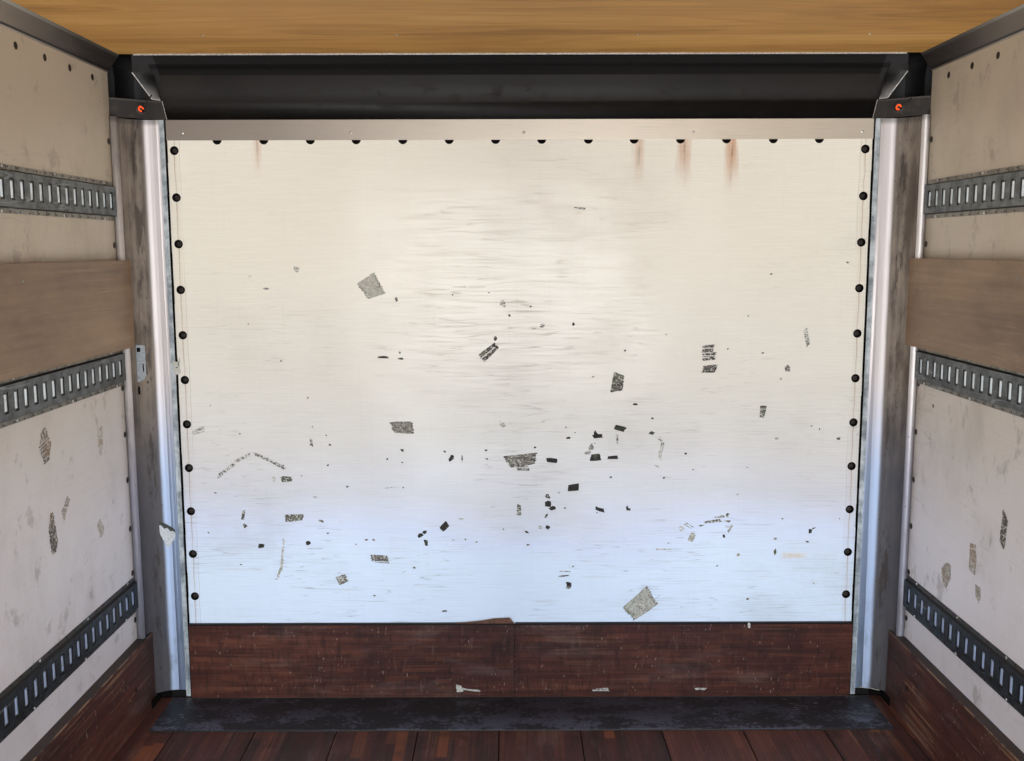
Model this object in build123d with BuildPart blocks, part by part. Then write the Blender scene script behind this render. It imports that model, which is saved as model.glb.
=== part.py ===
from build123d import *
import os

os.makedirs("parts", exist_ok=True)

# Cargo body of a box truck, in millimetres. +Y points to the front wall, +X to the right-hand side and
# +Z up. The origin is under the middle of the body, in the plane of the long sills' underside.

# Cargo space, between the faces of the linings
inside_width = 2490
inside_height = 2076
body_length = 4880          # front lining to the rear face of the rear frame

# Walls, roof and floor
panel_thick = 19            # plywood panel with glass-fibre faces
lap_thick = 3               # rails and posts lap over the outside of the panels
ceiling_thick = 9
roof_thick = 34             # roof bows and skin above the ceiling
floor_thick = 29
board_pitch = 254
board_gap = 4
board_joint = -70           # one joint's place across the floor

# Understructure
sill_height = 127
sill_width = 55
sill_wall = 6
frame_width = 864           # outside of the two long sills, as on the truck's frame
sill_end_gap = 70
mount_bolt_radius = 9
mount_bolt_span = 3200
cross_height = 76
cross_flange = 42
cross_wall = 4
cross_count = 13
cross_rear_gap = 40
cross_front_gap = 60
side_rail_lap = 90
side_rail_wall = 5
rear_sill_depth = 60
rear_sill_drop = 75         # the rear sill hangs this far below the crossmembers
running_gap = 1             # between pieces that are fitted side by side

# Front wall
corner_width = 142          # from the front panel's edge to the side lining
front_panel_top = 1894
strip_height = 62
strip_thick = 3
kick_height = 261
kick_thick = 12
kick_joint = -20
kick_split = 3
threshold_depth = 241
threshold_side_gap = 80     # from the steel plate's end to the side lining
threshold_thick = 5
edge_strip_width = 15
edge_strip_thick = 2
recess_radius = 13
recess_sides = 10
recess_depth = 7
recess_count = 11
recess_pitch = 144.7
recess_first = 1801
recess_inset = 22

# Front corners
corner_radius = 100
post_wall = 3.5
post_lap = 62
post_foot_gap = 28          # the post's inner face ends this far above the floor
bead_radius = 12
groove_width = 5            # open groove between the front panel and the post
groove_depth = 8
cove_radius = 90
cove_front_gap = 2          # from the cove's deepest places to the planes of the two linings
cove_side_gap = 7
panel_front_end = 82        # front end of the side panels, back from the front lining
header_depth = 91           # front end of the ceiling, back from the front lining
header_upright = 50         # flat lower part of the header's inner face
header_cove_in = 22
header_cove_drop = 48
header_flange = 18
header_flange_drop = 4
gusset_reach = 68           # the gusset's run across the body over the header's whole depth
gusset_foot = (17, 46)      # its foot's two ends and its outer end, measured from the panel's corner
gusset_length = 110
gusset_rise = 71            # the slanted lower edge's rise from foot to outer end
gusset_hollow = ((33, 65), (22, 11))    # points of its inner edge: (from the panel's corner, above the foot)
gusset_top_start = 68
gusset_thick = 3
cap_wall = 4
cap_box_height = 56
cap_box_thick = 3
cap_box_bend = 35.5         # from the front panel's edge to the bend of the box plate
cap_box_end = 6             # foot of the plate's slanted end, from the post's edge
cap_port_radius = 13
cap_sides = 20              # flats of a full turn in the cap's rounding
lamp_radius = 24
lamp_height = 14
lamp_level = 1925

# Side walls
rail_bottom = 2024
rail_reach = 37             # the top rail's cove, in from the side lining
rail_lap = 64
scuff_bottom = 1191
scuff_top = 1462
scuff_thick = 30
scuff_end_gap = 55          # the boards' front ends, back from the front lining
side_kick_height = 245
side_kick_thick = 32
side_kick_end_gap = 40

# Tie-down tracks: hat section with a row of slots
track_levels = (394, 1132, 1640)
track_height = 116
track_web = 84
track_rise = 12
track_sheet = 2.5
track_bend = 4              # the sloped sides' reach beyond the web
slot_pitch = 50
slot_width = 21
slot_height = 52
track_front_end = 95
track_rear_end = 300

# Rear frame and doors
rear_post_width = 70
rear_post_depth = 60
rear_post_lap = 70
header_height = 96          # rear header below the ceiling
door_thick = 32
door_gap = 6
door_proud = 6              # the closed doors' outer faces stand behind the rear frame
hinge_out = 27              # hinge pins, outside the rear posts
hinge_back = 30             # hinge pins, behind the rear frame
hinge_levels = (180, 990, 1800)
barrel_radius = 12
barrel_sides = 12
pin_clearance = 0.5
knuckle_height = 60
lug_height = 30
strap_length = 190
strap_thick = 7
lug_thick = 5
rod_radius = 13.5
rod_offset = 22             # lock rod's axis, off the door's face
rod_inset = 160             # lock rod, from the door's meeting edge
cam_half = 25
cam_height = 26
cam_depth = 28
cam_gap = 12                # cams, beyond the door's ends
keeper_gap = 7
keeper_thick = 7
keeper_height = 42
keeper_depth = 40
handle_level = 980
handle_length = 330
handle_back = 5             # handle's inner face, behind the rod's axis
handle_thick = 7
handle_height = 28
guide_levels = (120, 720, 1320, 1850)
guide_height = 40
guide_half = 30
guide_wall = 3
tail_lamp_radius = 52
tail_lamp_insets = (110, 255)
lens_sides = 20
lens_rise = 14
marker_width = 64
marker_height = 26
marker_spacing = 160
marker_inset = 160          # outer rear markers, in from the posts' outer faces

half_width = inside_width / 2
front_panel_half = half_width - corner_width
panel_out = half_width + panel_thick
lap_out = panel_out + lap_thick
rail_out = panel_out + side_rail_wall
cross_top = sill_height + cross_height
floor_z = cross_top + floor_thick
ceiling_z = floor_z + inside_height
roof_z = ceiling_z + ceiling_thick + roof_thick
post_out = half_width + panel_thick + side_rail_wall
post_in = post_out - rear_post_width
pin_x = post_out + hinge_out

# The body is centred lengthwise between the front face and the hinge barrels at the rear.
front_reach = panel_thick + lap_thick + lamp_height
rear_reach = body_length + hinge_back + barrel_radius
front_y = (rear_reach - front_reach) / 2
rear_y = front_y - body_length
pin_y = rear_y - hinge_back
door_out_y = rear_y - door_proud
door_in_y = door_out_y + door_thick
inner_rear_y = rear_y + rear_post_depth


def across(y):
    """Plane across the body at y, drawn as (x, z); a negative extrusion runs to the front."""
    return Plane(origin=(0, y, 0), x_dir=(1, 0, 0), z_dir=(0, -1, 0))


def block(x, y, z, mode=Mode.ADD):
    """Box between low and high limits given as pairs."""
    with Locations(((x[0] + x[1]) / 2, (y[0] + y[1]) / 2, (z[0] + z[1]) / 2)):
        Box(abs(x[1] - x[0]), abs(y[1] - y[0]), abs(z[1] - z[0]), mode=mode)


def save_pair(right_piece, name):
    """Write the right-hand piece, and its mirror image for the left-hand side."""
    for side in ("left", "right"):
        with BuildPart() as piece:
            add(right_piece)
            if side == "left":
                mirror(about=Plane.YZ, mode=Mode.REPLACE)
        piece.part.label = f"{name}_{side}"
        export_step(piece.part, f"parts/{name}_{side}.step")


# Long sills: two channels that lie on the truck's frame, with bolt holes in the lower flange
sill_front_y = front_y - sill_end_gap
sill_rear_y = rear_y + rear_sill_depth
sill_length = sill_front_y - sill_rear_y
web_x = frame_width / 2
bolt_x = web_x - sill_width / 2
bolt_middle_y = (sill_front_y + sill_rear_y) / 2

with BuildPart() as long_sill:
    with BuildSketch(across(sill_rear_y)):
        with BuildLine():
            Polyline(
                (web_x, 0),
                (web_x, sill_height),
                (web_x - sill_width, sill_height),
                (web_x - sill_width, sill_height - sill_wall),
                (web_x - sill_wall, sill_height - sill_wall),
                (web_x - sill_wall, sill_wall),
                (web_x - sill_width, sill_wall),
                (web_x - sill_width, 0),
                close=True,
            )
        make_face()
    extrude(amount=-sill_length)
    with BuildSketch(Plane.XY):
        with Locations((bolt_x, bolt_middle_y)):
            with GridLocations(1, mount_bolt_span, 1, 2):
                Circle(mount_bolt_radius)
    extrude(amount=sill_wall, mode=Mode.SUBTRACT)
save_pair(long_sill.part, "long_sill")

# Crossmembers: channels on the long sills
cross_first_y = sill_rear_y + cross_rear_gap
cross_last_y = front_y - cross_front_gap - cross_flange
cross_pitch = (cross_last_y - cross_first_y) / (cross_count - 1)

with BuildPart() as crossmembers:
    with BuildSketch(Plane.YZ.offset(-half_width)):
        for place in range(cross_count):
            with BuildLine():
                y = cross_first_y + place * cross_pitch
                Polyline(
                    (y, sill_height),
                    (y + cross_flange, sill_height),
                    (y + cross_flange, sill_height + cross_wall),
                    (y + cross_wall, sill_height + cross_wall),
                    (y + cross_wall, cross_top - cross_wall),
                    (y + cross_flange, cross_top - cross_wall),
                    (y + cross_flange, cross_top),
                    (y, cross_top),
                    close=True,
                )
            make_face()
    extrude(amount=inside_width)
crossmembers.part.label = "crossmembers"
export_step(crossmembers.part, "parts/crossmembers.step")


def rail_points(face, out):
    """Bottom rail: web beside the crossmembers, shelf under the panel, lap outside it."""
    return [
        (face, sill_height),
        (face + side_rail_wall, sill_height),
        (face + side_rail_wall, cross_top - side_rail_wall),
        (out + side_rail_wall, cross_top - side_rail_wall),
        (out + side_rail_wall, cross_top + side_rail_lap),
        (out, cross_top + side_rail_lap),
        (out, cross_top),
        (face, cross_top),
    ]


# Bottom rails along the sides, and the front sill between the corner posts
post_back_y = front_y - panel_front_end
rail_rear_y = inner_rear_y + rear_post_lap
with BuildPart() as bottom_rail:
    with BuildSketch(across(rail_rear_y)):
        with BuildLine():
            Polyline(*rail_points(half_width, panel_out), close=True)
        make_face()
    extrude(amount=-(post_back_y - post_lap - rail_rear_y))
save_pair(bottom_rail.part, "bottom_rail")

with BuildPart() as front_sill:
    with BuildSketch(Plane.YZ.offset(-front_panel_half + post_lap)):
        with BuildLine():
            Polyline(*rail_points(front_y, front_y + panel_thick), close=True)
        make_face()
    extrude(amount=2 * (front_panel_half - post_lap))
front_sill.part.label = "front_sill"
export_step(front_sill.part, "parts/front_sill.step")

# Rear sill, across the ends of the long sills
rear_sill_bottom = sill_height - rear_sill_drop
with BuildPart() as rear_sill:
    block((-post_out, post_out), (rear_y, rear_y + rear_sill_depth), (rear_sill_bottom, floor_z))
rear_sill.part.label = "rear_sill"
export_step(rear_sill.part, "parts/rear_sill.step")

# Floor: lengthwise boards with open joints, and the steel plate at the front wall
floor_front_y = front_y - running_gap
floor_rear_y = rear_y + rear_sill_depth
floor_half = half_width - running_gap
lowest_joint = -int((floor_half + board_joint) // board_pitch)
highest_joint = int((floor_half - board_joint) // board_pitch)
joints = [board_joint + place * board_pitch for place in range(lowest_joint, highest_joint + 1)]
board_edges = [-floor_half, *joints, floor_half]
with BuildPart() as floor_boards:
    for left_x, right_x in zip(board_edges, board_edges[1:]):
        block(
            (left_x + board_gap / 2, right_x - board_gap / 2),
            (floor_rear_y, floor_front_y),
            (cross_top, floor_z),
        )
floor_boards.part.label = "floor_boards"
export_step(floor_boards.part, "parts/floor_boards.step")

threshold_front_y = front_y - kick_thick - running_gap
with BuildPart() as threshold_plate:
    block(
        (threshold_side_gap - half_width, half_width - threshold_side_gap),
        (front_y - threshold_depth, threshold_front_y),
        (floor_z, floor_z + threshold_thick),
    )
    rear_edges = threshold_plate.edges().filter_by(Axis.X).group_by(Axis.Y)[0]
    fillet(rear_edges.sort_by(Axis.Z)[-1], threshold_thick - 1)
threshold_plate.part.label = "threshold_plate"
export_step(threshold_plate.part, "parts/threshold_plate.step")

# Front wall: panel with two rows of countersunk fixings, metal strip, wooden kick boards
with BuildPart() as front_panel:
    block(
        (-front_panel_half, front_panel_half),
        (front_y, front_y + panel_thick),
        (cross_top, floor_z + front_panel_top),
    )
    with BuildSketch(Plane.XZ.offset(-front_y)):
        for sign in (-1, 1):
            for place in range(recess_count):
                with Locations(
                    (
                        sign * (front_panel_half - recess_inset),
                        floor_z + recess_first - place * recess_pitch,
                    )
                ):
                    RegularPolygon(recess_radius, recess_sides)
    extrude(amount=-recess_depth, mode=Mode.SUBTRACT)
front_panel.part.label = "front_panel"
export_step(front_panel.part, "parts/front_panel.step")

with BuildPart() as front_strip:
    block(
        (-front_panel_half, front_panel_half),
        (front_y - strip_thick, front_y),
        (floor_z + front_panel_top - strip_height, floor_z + front_panel_top),
    )
front_strip.part.label = "front_strip"
export_step(front_strip.part, "parts/front_strip.step")

with BuildPart() as front_kick_boards:
    for left_x, right_x in (
        (-front_panel_half, kick_joint - kick_split / 2),
        (kick_joint + kick_split / 2, front_panel_half),
    ):
        block((left_x, right_x), (front_y - kick_thick, front_y), (floor_z, floor_z + kick_height))
front_kick_boards.part.label = "front_kick_boards"
export_step(front_kick_boards.part, "parts/front_kick_boards.step")

# Front corner posts: hollow extrusions with a round outside, laps over both panels and, inside, a wide
# cove between the bead at the side panel and the groove at the front panel
post_centre_x = lap_out - corner_radius
post_centre_y = front_y + panel_thick + lap_thick - corner_radius
post_edge_x = front_panel_half + running_gap
groove_x = post_edge_x + groove_width
cove_start_x = groove_x + edge_strip_width + running_gap
cove_centre_x = half_width - cove_side_gap - cove_radius
cove_centre_y = front_y - cove_front_gap - cove_radius
cove_back_radius = cove_radius + post_wall
chamber_radius = corner_radius - post_wall
bead_x = half_width - bead_radius
post_top = floor_z + front_panel_top
slant = 0.5**0.5


def post_arc(radius):
    """Quarter arc of the post's round outside."""
    ThreePointArc(
        (post_centre_x + radius, post_centre_y),
        (post_centre_x + radius * slant, post_centre_y + radius * slant),
        (post_centre_x, post_centre_y + radius),
    )


def cove_y(x):
    """Place of the cove's face at x."""
    return cove_centre_y + (cove_radius**2 - (x - cove_centre_x) ** 2) ** 0.5


with BuildPart() as corner_post:
    with BuildSketch(Plane.XY.offset(sill_height)):
        with BuildLine():
            Polyline(
                (bead_x, cove_y(bead_x)),
                (bead_x, post_back_y),
                (lap_out, post_back_y),
                (lap_out, post_centre_y),
            )
            post_arc(corner_radius)
            Polyline(
                (post_centre_x, post_centre_y + corner_radius),
                (post_edge_x, post_centre_y + corner_radius),
                (post_edge_x, front_y + groove_depth),
                (groove_x, front_y + groove_depth),
                (groove_x, front_y),
                (cove_start_x, front_y),
                (cove_start_x, cove_y(cove_start_x)),
            )
            ThreePointArc(
                (cove_start_x, cove_y(cove_start_x)),
                (cove_centre_x + cove_radius * slant, cove_centre_y + cove_radius * slant),
                (bead_x, cove_y(bead_x)),
            )
        make_face()
        # chamber between the round outside and the inner face
        with BuildLine():
            post_arc(chamber_radius)
            Polyline(
                (post_centre_x, post_centre_y + chamber_radius),
                (groove_x + post_wall, post_centre_y + chamber_radius),
                (groove_x + post_wall, front_y + post_wall),
                (cove_centre_x, front_y + post_wall),
            )
            ThreePointArc(
                (cove_centre_x, front_y + post_wall),
                (cove_centre_x + cove_back_radius * slant, cove_centre_y + cove_back_radius * slant),
                (bead_x + post_wall, cove_y(bead_x)),
            )
            Polyline(
                (bead_x + post_wall, cove_y(bead_x)),
                (bead_x + post_wall, post_centre_y),
                (post_centre_x + chamber_radius, post_centre_y),
            )
        make_face(mode=Mode.SUBTRACT)
        # bead against the side panel, and the laps outside both panels
        with Locations((bead_x, post_back_y)):
            Circle(bead_radius)
        with Locations((panel_out + lap_thick / 2, post_back_y - post_lap / 2)):
            Rectangle(lap_thick, post_lap)
        with Locations((post_edge_x - post_lap / 2, front_y + panel_thick + lap_thick / 2)):
            Rectangle(post_lap, lap_thick)
    extrude(amount=post_top - sill_height)
    # the floor runs in under the inner face
    block(
        (front_panel_half, half_width),
        (post_back_y - post_lap, front_y),
        (sill_height, floor_z + post_foot_gap),
        mode=Mode.SUBTRACT,
    )
save_pair(corner_post.part, "corner_post")

with BuildPart() as edge_strips:
    for sign in (-1, 1):
        block(
            (sign * groove_x, sign * (groove_x + edge_strip_width)),
            (front_y - edge_strip_thick, front_y),
            (floor_z + threshold_thick + running_gap, post_top),
        )
edge_strips.part.label = "edge_strips"
export_step(edge_strips.part, "parts/edge_strips.step")

# Front header: round outside, concave face towards the cargo space, lap over the panel, and at each end
# a slanted gusset over the corner cap's box plate
skirt_z = post_top + running_gap
header_half = post_centre_x - running_gap
gusset_foot_z = skirt_z + cap_box_height + running_gap
top_centre_z = roof_z - corner_radius
with BuildPart() as front_header:
    with BuildSketch(Plane.YZ.offset(-header_half)):
        with BuildLine():
            Polyline(
                (front_y - header_depth, ceiling_z),
                (front_y - header_depth, ceiling_z + ceiling_thick),
                (post_centre_y, ceiling_z + ceiling_thick),
                (post_centre_y, roof_z),
            )
            ThreePointArc(
                (post_centre_y, roof_z),
                (post_centre_y + corner_radius * slant, top_centre_z + corner_radius * slant),
                (post_centre_y + corner_radius, top_centre_z),
            )
            Polyline(
                (post_centre_y + corner_radius, top_centre_z),
                (post_centre_y + corner_radius, post_top),
                (front_y, post_top),
                (front_y, post_top + header_upright),
            )
            ThreePointArc(
                (front_y, post_top + header_upright),
                (front_y - header_cove_in, ceiling_z - header_cove_drop),
                (front_y - header_depth + header_flange, ceiling_z - header_flange_drop),
            )
            Line(
                (front_y - header_depth + header_flange, ceiling_z - header_flange_drop),
                (front_y - header_depth, ceiling_z),
            )
        make_face()
    extrude(amount=2 * header_half)
    block(
        (post_lap - post_edge_x, post_edge_x - post_lap),
        (front_y + panel_thick, front_y + panel_thick + lap_thick),
        (post_top - post_lap, post_top),
    )
    for side in (-1, 1):
        gusset_plane = Plane(
            origin=(side * front_panel_half, front_y, 0),
            x_dir=(side * gusset_reach, -header_depth, 0),
            z_dir=(-header_depth, -side * gusset_reach, 0),
        )
        with BuildSketch(gusset_plane):
            with BuildLine():
                Polyline(
                    (gusset_foot[0], gusset_foot_z),
                    (gusset_foot[1], gusset_foot_z),
                    (gusset_length, gusset_foot_z + gusset_rise),
                    (gusset_length, ceiling_z),
                    (gusset_top_start, ceiling_z),
                    *[(along, gusset_foot_z + rise) for along, rise in gusset_hollow],
                    close=True,
                )
            make_face()
        extrude(amount=side * gusset_thick)
front_header.part.label = "front_header"
export_step(front_header.part, "parts/front_header.step")

# Top corner caps: an eighth of a sphere over a short round skirt, open inside. A slanted box plate
# closes the skirt towards the cargo space; the corner lamp shows through its port.
inner_radius = corner_radius - cap_wall
cap_bend_x = front_panel_half + cap_box_bend
corner_lamp_plane = Plane(
    origin=(
        post_centre_x + corner_radius * slant,
        post_centre_y + corner_radius * slant,
        floor_z + lamp_level,
    ),
    z_dir=(1, 1, 0),
)
with BuildPart() as corner_cap:
    with BuildSketch(across(post_centre_y)):
        with Locations((post_centre_x, top_centre_z)):
            RegularPolygon(corner_radius, cap_sides)
            RegularPolygon(inner_radius, cap_sides, mode=Mode.SUBTRACT)
            Rectangle(
                corner_radius,
                corner_radius,
                align=(Align.MIN, Align.MIN),
                mode=Mode.INTERSECT,
            )
        with Locations((post_centre_x + inner_radius, skirt_z)):
            Rectangle(cap_wall, top_centre_z - skirt_z, align=(Align.MIN, Align.MIN))
    revolve(axis=Axis((post_centre_x, post_centre_y, 0), (0, 0, 1)), revolution_arc=90)
    with BuildSketch(Plane.XY.offset(skirt_z)):
        with BuildLine():
            Polyline(
                (post_centre_x + inner_radius + cap_wall / 2, post_centre_y),
                (bead_x, post_centre_y),
                (cap_bend_x, front_y - cap_box_thick * 3),
                (post_edge_x, front_y - cap_box_thick),
                (post_edge_x, front_y),
                (cap_bend_x, front_y - cap_box_thick * 2),
                (bead_x, post_centre_y + cap_box_thick * 1.5),
                (post_centre_x + inner_radius + cap_wall / 2, post_centre_y + cap_box_thick),
                close=True,
            )
        make_face()
    extrude(amount=cap_box_height)
    # port of the corner lamp, and the slanted end of the box plate
    with BuildSketch(Plane.XZ.offset(-front_y)):
        with Locations((post_centre_x, skirt_z + cap_box_height / 2)):
            RegularPolygon(cap_port_radius, recess_sides)
        with BuildLine():
            Polyline(
                (front_panel_half, skirt_z),
                (post_edge_x + cap_box_end, skirt_z),
                (cap_bend_x, skirt_z + cap_box_height),
                (front_panel_half, skirt_z + cap_box_height),
                close=True,
            )
        make_face()
    extrude(amount=panel_front_end, mode=Mode.SUBTRACT)
save_pair(corner_cap.part, "corner_cap")

# Roof: top rails with a cove, ceiling, and the roof above it
roof_front_y = post_centre_y
header_front_y = rear_y + rear_post_depth
cove_in = half_width - rail_reach
rail_edge_z = floor_z + rail_bottom
round_edge = 30
with BuildPart() as top_rail:
    with BuildSketch(across(header_front_y)):
        with BuildLine():
            Polyline(
                (rail_out, roof_z - round_edge),
                (rail_out, rail_edge_z - rail_lap),
                (panel_out, rail_edge_z - rail_lap),
                (panel_out, rail_edge_z),
                (half_width, rail_edge_z),
                (cove_in, ceiling_z),
                (cove_in, roof_z),
                (rail_out - round_edge, roof_z),
            )
            RadiusArc((rail_out - round_edge, roof_z), (rail_out, roof_z - round_edge), round_edge)
        make_face()
    extrude(amount=-(roof_front_y - header_front_y))
save_pair(top_rail.part, "top_rail")

with BuildPart() as ceiling:
    block(
        (-cove_in + running_gap, cove_in - running_gap),
        (header_front_y, front_y - header_depth),
        (ceiling_z, ceiling_z + ceiling_thick),
    )
ceiling.part.label = "ceiling"
export_step(ceiling.part, "parts/ceiling.step")

with BuildPart() as roof_panel:
    block(
        (-cove_in + running_gap, cove_in - running_gap),
        (header_front_y, roof_front_y),
        (ceiling_z + ceiling_thick, roof_z),
    )
roof_panel.part.label = "roof_panel"
export_step(roof_panel.part, "parts/roof_panel.step")

# Side walls: panel, scuff board at half height and kick board at the floor; at the front the boards' faces
# run on over the corner post's bead
wall_rear_y = inner_rear_y
with BuildPart() as side_panel:
    block((half_width, panel_out), (wall_rear_y, post_back_y), (cross_top, rail_edge_z))
save_pair(side_panel.part, "side_panel")

lining_rear_y = wall_rear_y + running_gap
lining_front_y = post_back_y - bead_radius - running_gap
over_bead_x = half_width - 2 * bead_radius - running_gap
with BuildPart() as scuff_board:
    scuff_z = (floor_z + scuff_bottom, floor_z + scuff_top)
    block((half_width - scuff_thick, half_width), (lining_rear_y, lining_front_y), scuff_z)
    block((half_width - scuff_thick, over_bead_x), (lining_front_y, front_y - scuff_end_gap), scuff_z)
save_pair(scuff_board.part, "scuff_board")

with BuildPart() as side_kick_board:
    kick_z = (floor_z, floor_z + side_kick_height)
    kick_end_y = front_y - side_kick_end_gap
    block((half_width - side_kick_thick, half_width), (lining_rear_y, lining_front_y), kick_z)
    block((half_width - side_kick_thick, over_bead_x), (lining_front_y, kick_end_y), kick_z)
save_pair(side_kick_board.part, "side_kick_board")

# Tie-down tracks: hat section with a row of upright slots, three on each wall
track_front_y = front_y - track_front_end
track_rear_y = wall_rear_y + track_rear_end
track_length = track_front_y - track_rear_y
slot_count = int(track_length // slot_pitch)
track_middle_y = (track_front_y + track_rear_y) / 2
web_face = half_width - track_rise
with BuildPart() as tracks:
    for level in track_levels:
        middle_z = floor_z + level
        with BuildSketch(Plane.YZ.offset(web_face)):
            with Locations((track_middle_y, middle_z)):
                Rectangle(track_length, track_web)
                with GridLocations(slot_pitch, 1, slot_count, 1):
                    Rectangle(slot_width, slot_height, mode=Mode.SUBTRACT)
        extrude(amount=track_sheet)
        for up in (-1, 1):
            with BuildSketch(across(track_rear_y)):
                with BuildLine():
                    Polyline(
                        (web_face, middle_z + up * track_web / 2),
                        (half_width - track_sheet, middle_z + up * (track_web / 2 + track_bend)),
                        (half_width - track_sheet, middle_z + up * track_height / 2),
                        (half_width, middle_z + up * track_height / 2),
                        (half_width, middle_z + up * (track_web / 2 + track_bend / 4)),
                        (web_face + track_sheet, middle_z + up * (track_web / 2 - track_bend / 2)),
                        (web_face, middle_z + up * (track_web / 2 - track_bend / 2)),
                        close=True,
                    )
                make_face()
            extrude(amount=-track_length)
save_pair(tracks.part, "tie_down_tracks")

# Rear frame: posts with a lap over the side panels, and the header
with BuildPart() as rear_post:
    block((post_in, post_out), (rear_y, inner_rear_y), (floor_z, roof_z))
    block(
        (panel_out, post_out),
        (inner_rear_y, inner_rear_y + rear_post_lap),
        (floor_z, rail_edge_z - rail_lap),
    )
save_pair(rear_post.part, "rear_post")

opening_top = ceiling_z - header_height
with BuildPart() as rear_header:
    block((-post_in, post_in), (rear_y, inner_rear_y), (opening_top, roof_z))
rear_header.part.label = "rear_header"
export_step(rear_header.part, "parts/rear_header.step")

# Doors, standing open and folded forward beside the body. A point of the closed door at (x, y) lies
# at turned(x, y) when the door has swung 270 degrees about its pin.


def turned(x, y):
    return (pin_x + (y - pin_y), pin_y - (x - pin_x))


def opened(x, y, z):
    """Box of the closed door between low and high limits, placed on the open door."""
    near_x, far_y = turned(x[0], y[0])
    far_x, near_y = turned(x[1], y[1])
    block((near_x, far_x), (near_y, far_y), z)


door_edge_x = post_in - door_gap
door_meet_x = door_gap
door_bottom = floor_z + door_gap
door_top = opening_top - door_gap
with BuildPart() as door:
    opened((door_meet_x, door_edge_x), (door_out_y, door_in_y), (door_bottom, door_top))
save_pair(door.part, "door")

# Hinges: a strap on the door whose knuckle turns between two lugs of the rear post
strap_bend_x = pin_x - hinge_out - barrel_radius
with BuildPart() as hinge_straps:
    for level in hinge_levels:
        with BuildSketch(Plane.XY.offset(floor_z + level - knuckle_height / 2)):
            with Locations((pin_x, pin_y)):
                RegularPolygon(barrel_radius, barrel_sides)
            with BuildLine():
                Polyline(
                    turned(pin_x, pin_y + barrel_radius - 1),
                    turned(strap_bend_x, door_out_y),
                    turned(door_edge_x - strap_length, door_out_y),
                    turned(door_edge_x - strap_length, door_out_y - strap_thick),
                    turned(strap_bend_x, door_out_y - strap_thick),
                    turned(pin_x - barrel_radius + 2, pin_y - barrel_radius / 2),
                    close=True,
                )
            make_face()
        extrude(amount=knuckle_height)
save_pair(hinge_straps.part, "hinge_straps")

with BuildPart() as hinge_lugs:
    for level in hinge_levels:
        reach = knuckle_height / 2 + pin_clearance
        for low_z in (floor_z + level - reach - lug_height, floor_z + level + reach):
            with BuildSketch(Plane.XY.offset(low_z)):
                with Locations((pin_x, pin_y)):
                    RegularPolygon(barrel_radius, barrel_sides)
                with BuildLine():
                    Polyline(
                        (post_in + door_gap, rear_y),
                        (post_in + door_gap, rear_y - lug_thick),
                        (post_out - barrel_radius, rear_y - lug_thick),
                        (pin_x - barrel_radius + 2, pin_y - barrel_radius / 2),
                        (pin_x, pin_y + barrel_radius - 1),
                        (post_out, rear_y),
                        close=True,
                    )
                make_face()
            extrude(amount=lug_height)
    mirror(about=Plane.YZ)
hinge_lugs.part.label = "hinge_lugs"
export_step(hinge_lugs.part, "parts/hinge_lugs.step")

# Lock rods: an upright rod on each door with a cam at both ends and a flat handle
rod_x = door_meet_x + rod_inset
rod_y = door_out_y - rod_offset
cam_low_z = door_bottom - cam_height - cam_gap
cam_top_z = door_top + cam_gap
with BuildPart() as lock_rod:
    with BuildSketch(Plane.XY.offset(cam_low_z)):
        with Locations(turned(rod_x, rod_y)):
            Circle(rod_radius)
    extrude(amount=cam_top_z + cam_height - cam_low_z)
    for low_z in (cam_low_z, cam_top_z):
        opened(
            (rod_x - cam_half, rod_x + cam_half),
            (rod_y - cam_depth / 2, rod_y + cam_depth / 2),
            (low_z, low_z + cam_height),
        )
    opened(
        (rod_x, rod_x + handle_length),
        (rod_y - handle_back - handle_thick, rod_y - handle_back),
        (floor_z + handle_level, floor_z + handle_level + handle_height),
    )
save_pair(lock_rod.part, "lock_rod")

with BuildPart() as rod_guides:
    for level in guide_levels:
        opened(
            (rod_x - guide_half, rod_x + guide_half),
            (rod_y - rod_radius - guide_wall, door_out_y),
            (floor_z + level, floor_z + level + guide_height),
        )
    with BuildSketch(Plane.XY.offset(door_bottom)):
        with Locations(turned(rod_x, rod_y)):
            Rectangle(2 * (rod_radius + pin_clearance), 2 * (rod_radius + pin_clearance))
    extrude(amount=door_top - door_bottom, mode=Mode.SUBTRACT)
save_pair(rod_guides.part, "rod_guides")

# Keepers on the rear sill and header, a cheek on each side of every cam
with BuildPart() as keepers:
    for middle_z in (cam_low_z + cam_height / 2, cam_top_z + cam_height / 2):
        low_z = middle_z - keeper_height / 2
        cheek_x = rod_x + cam_half + keeper_gap
        far_cheek_x = rod_x - cam_half - keeper_gap
        high_z = low_z + keeper_height
        block((cheek_x, cheek_x + keeper_thick), (rear_y - keeper_depth, rear_y), (low_z, high_z))
        block((far_cheek_x - keeper_thick, far_cheek_x), (rear_y - keeper_depth, rear_y), (low_z, high_z))
    mirror(about=Plane.YZ)
keepers.part.label = "keepers"
export_step(keepers.part, "parts/keepers.step")

# Lamps: round tail lamps on the rear sill, flat marker lamps on the headers and the front corners
lamp_z = (rear_sill_bottom + floor_z) / 2
with BuildPart() as tail_lamps:
    with BuildSketch(Plane.XZ.offset(-rear_y)):
        for inset in tail_lamp_insets:
            with Locations((inset - post_out, lamp_z), (post_out - inset, lamp_z)):
                RegularPolygon(tail_lamp_radius, lens_sides)
    extrude(amount=lens_rise)
tail_lamps.part.label = "tail_lamps"
export_step(tail_lamps.part, "parts/tail_lamps.step")

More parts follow.
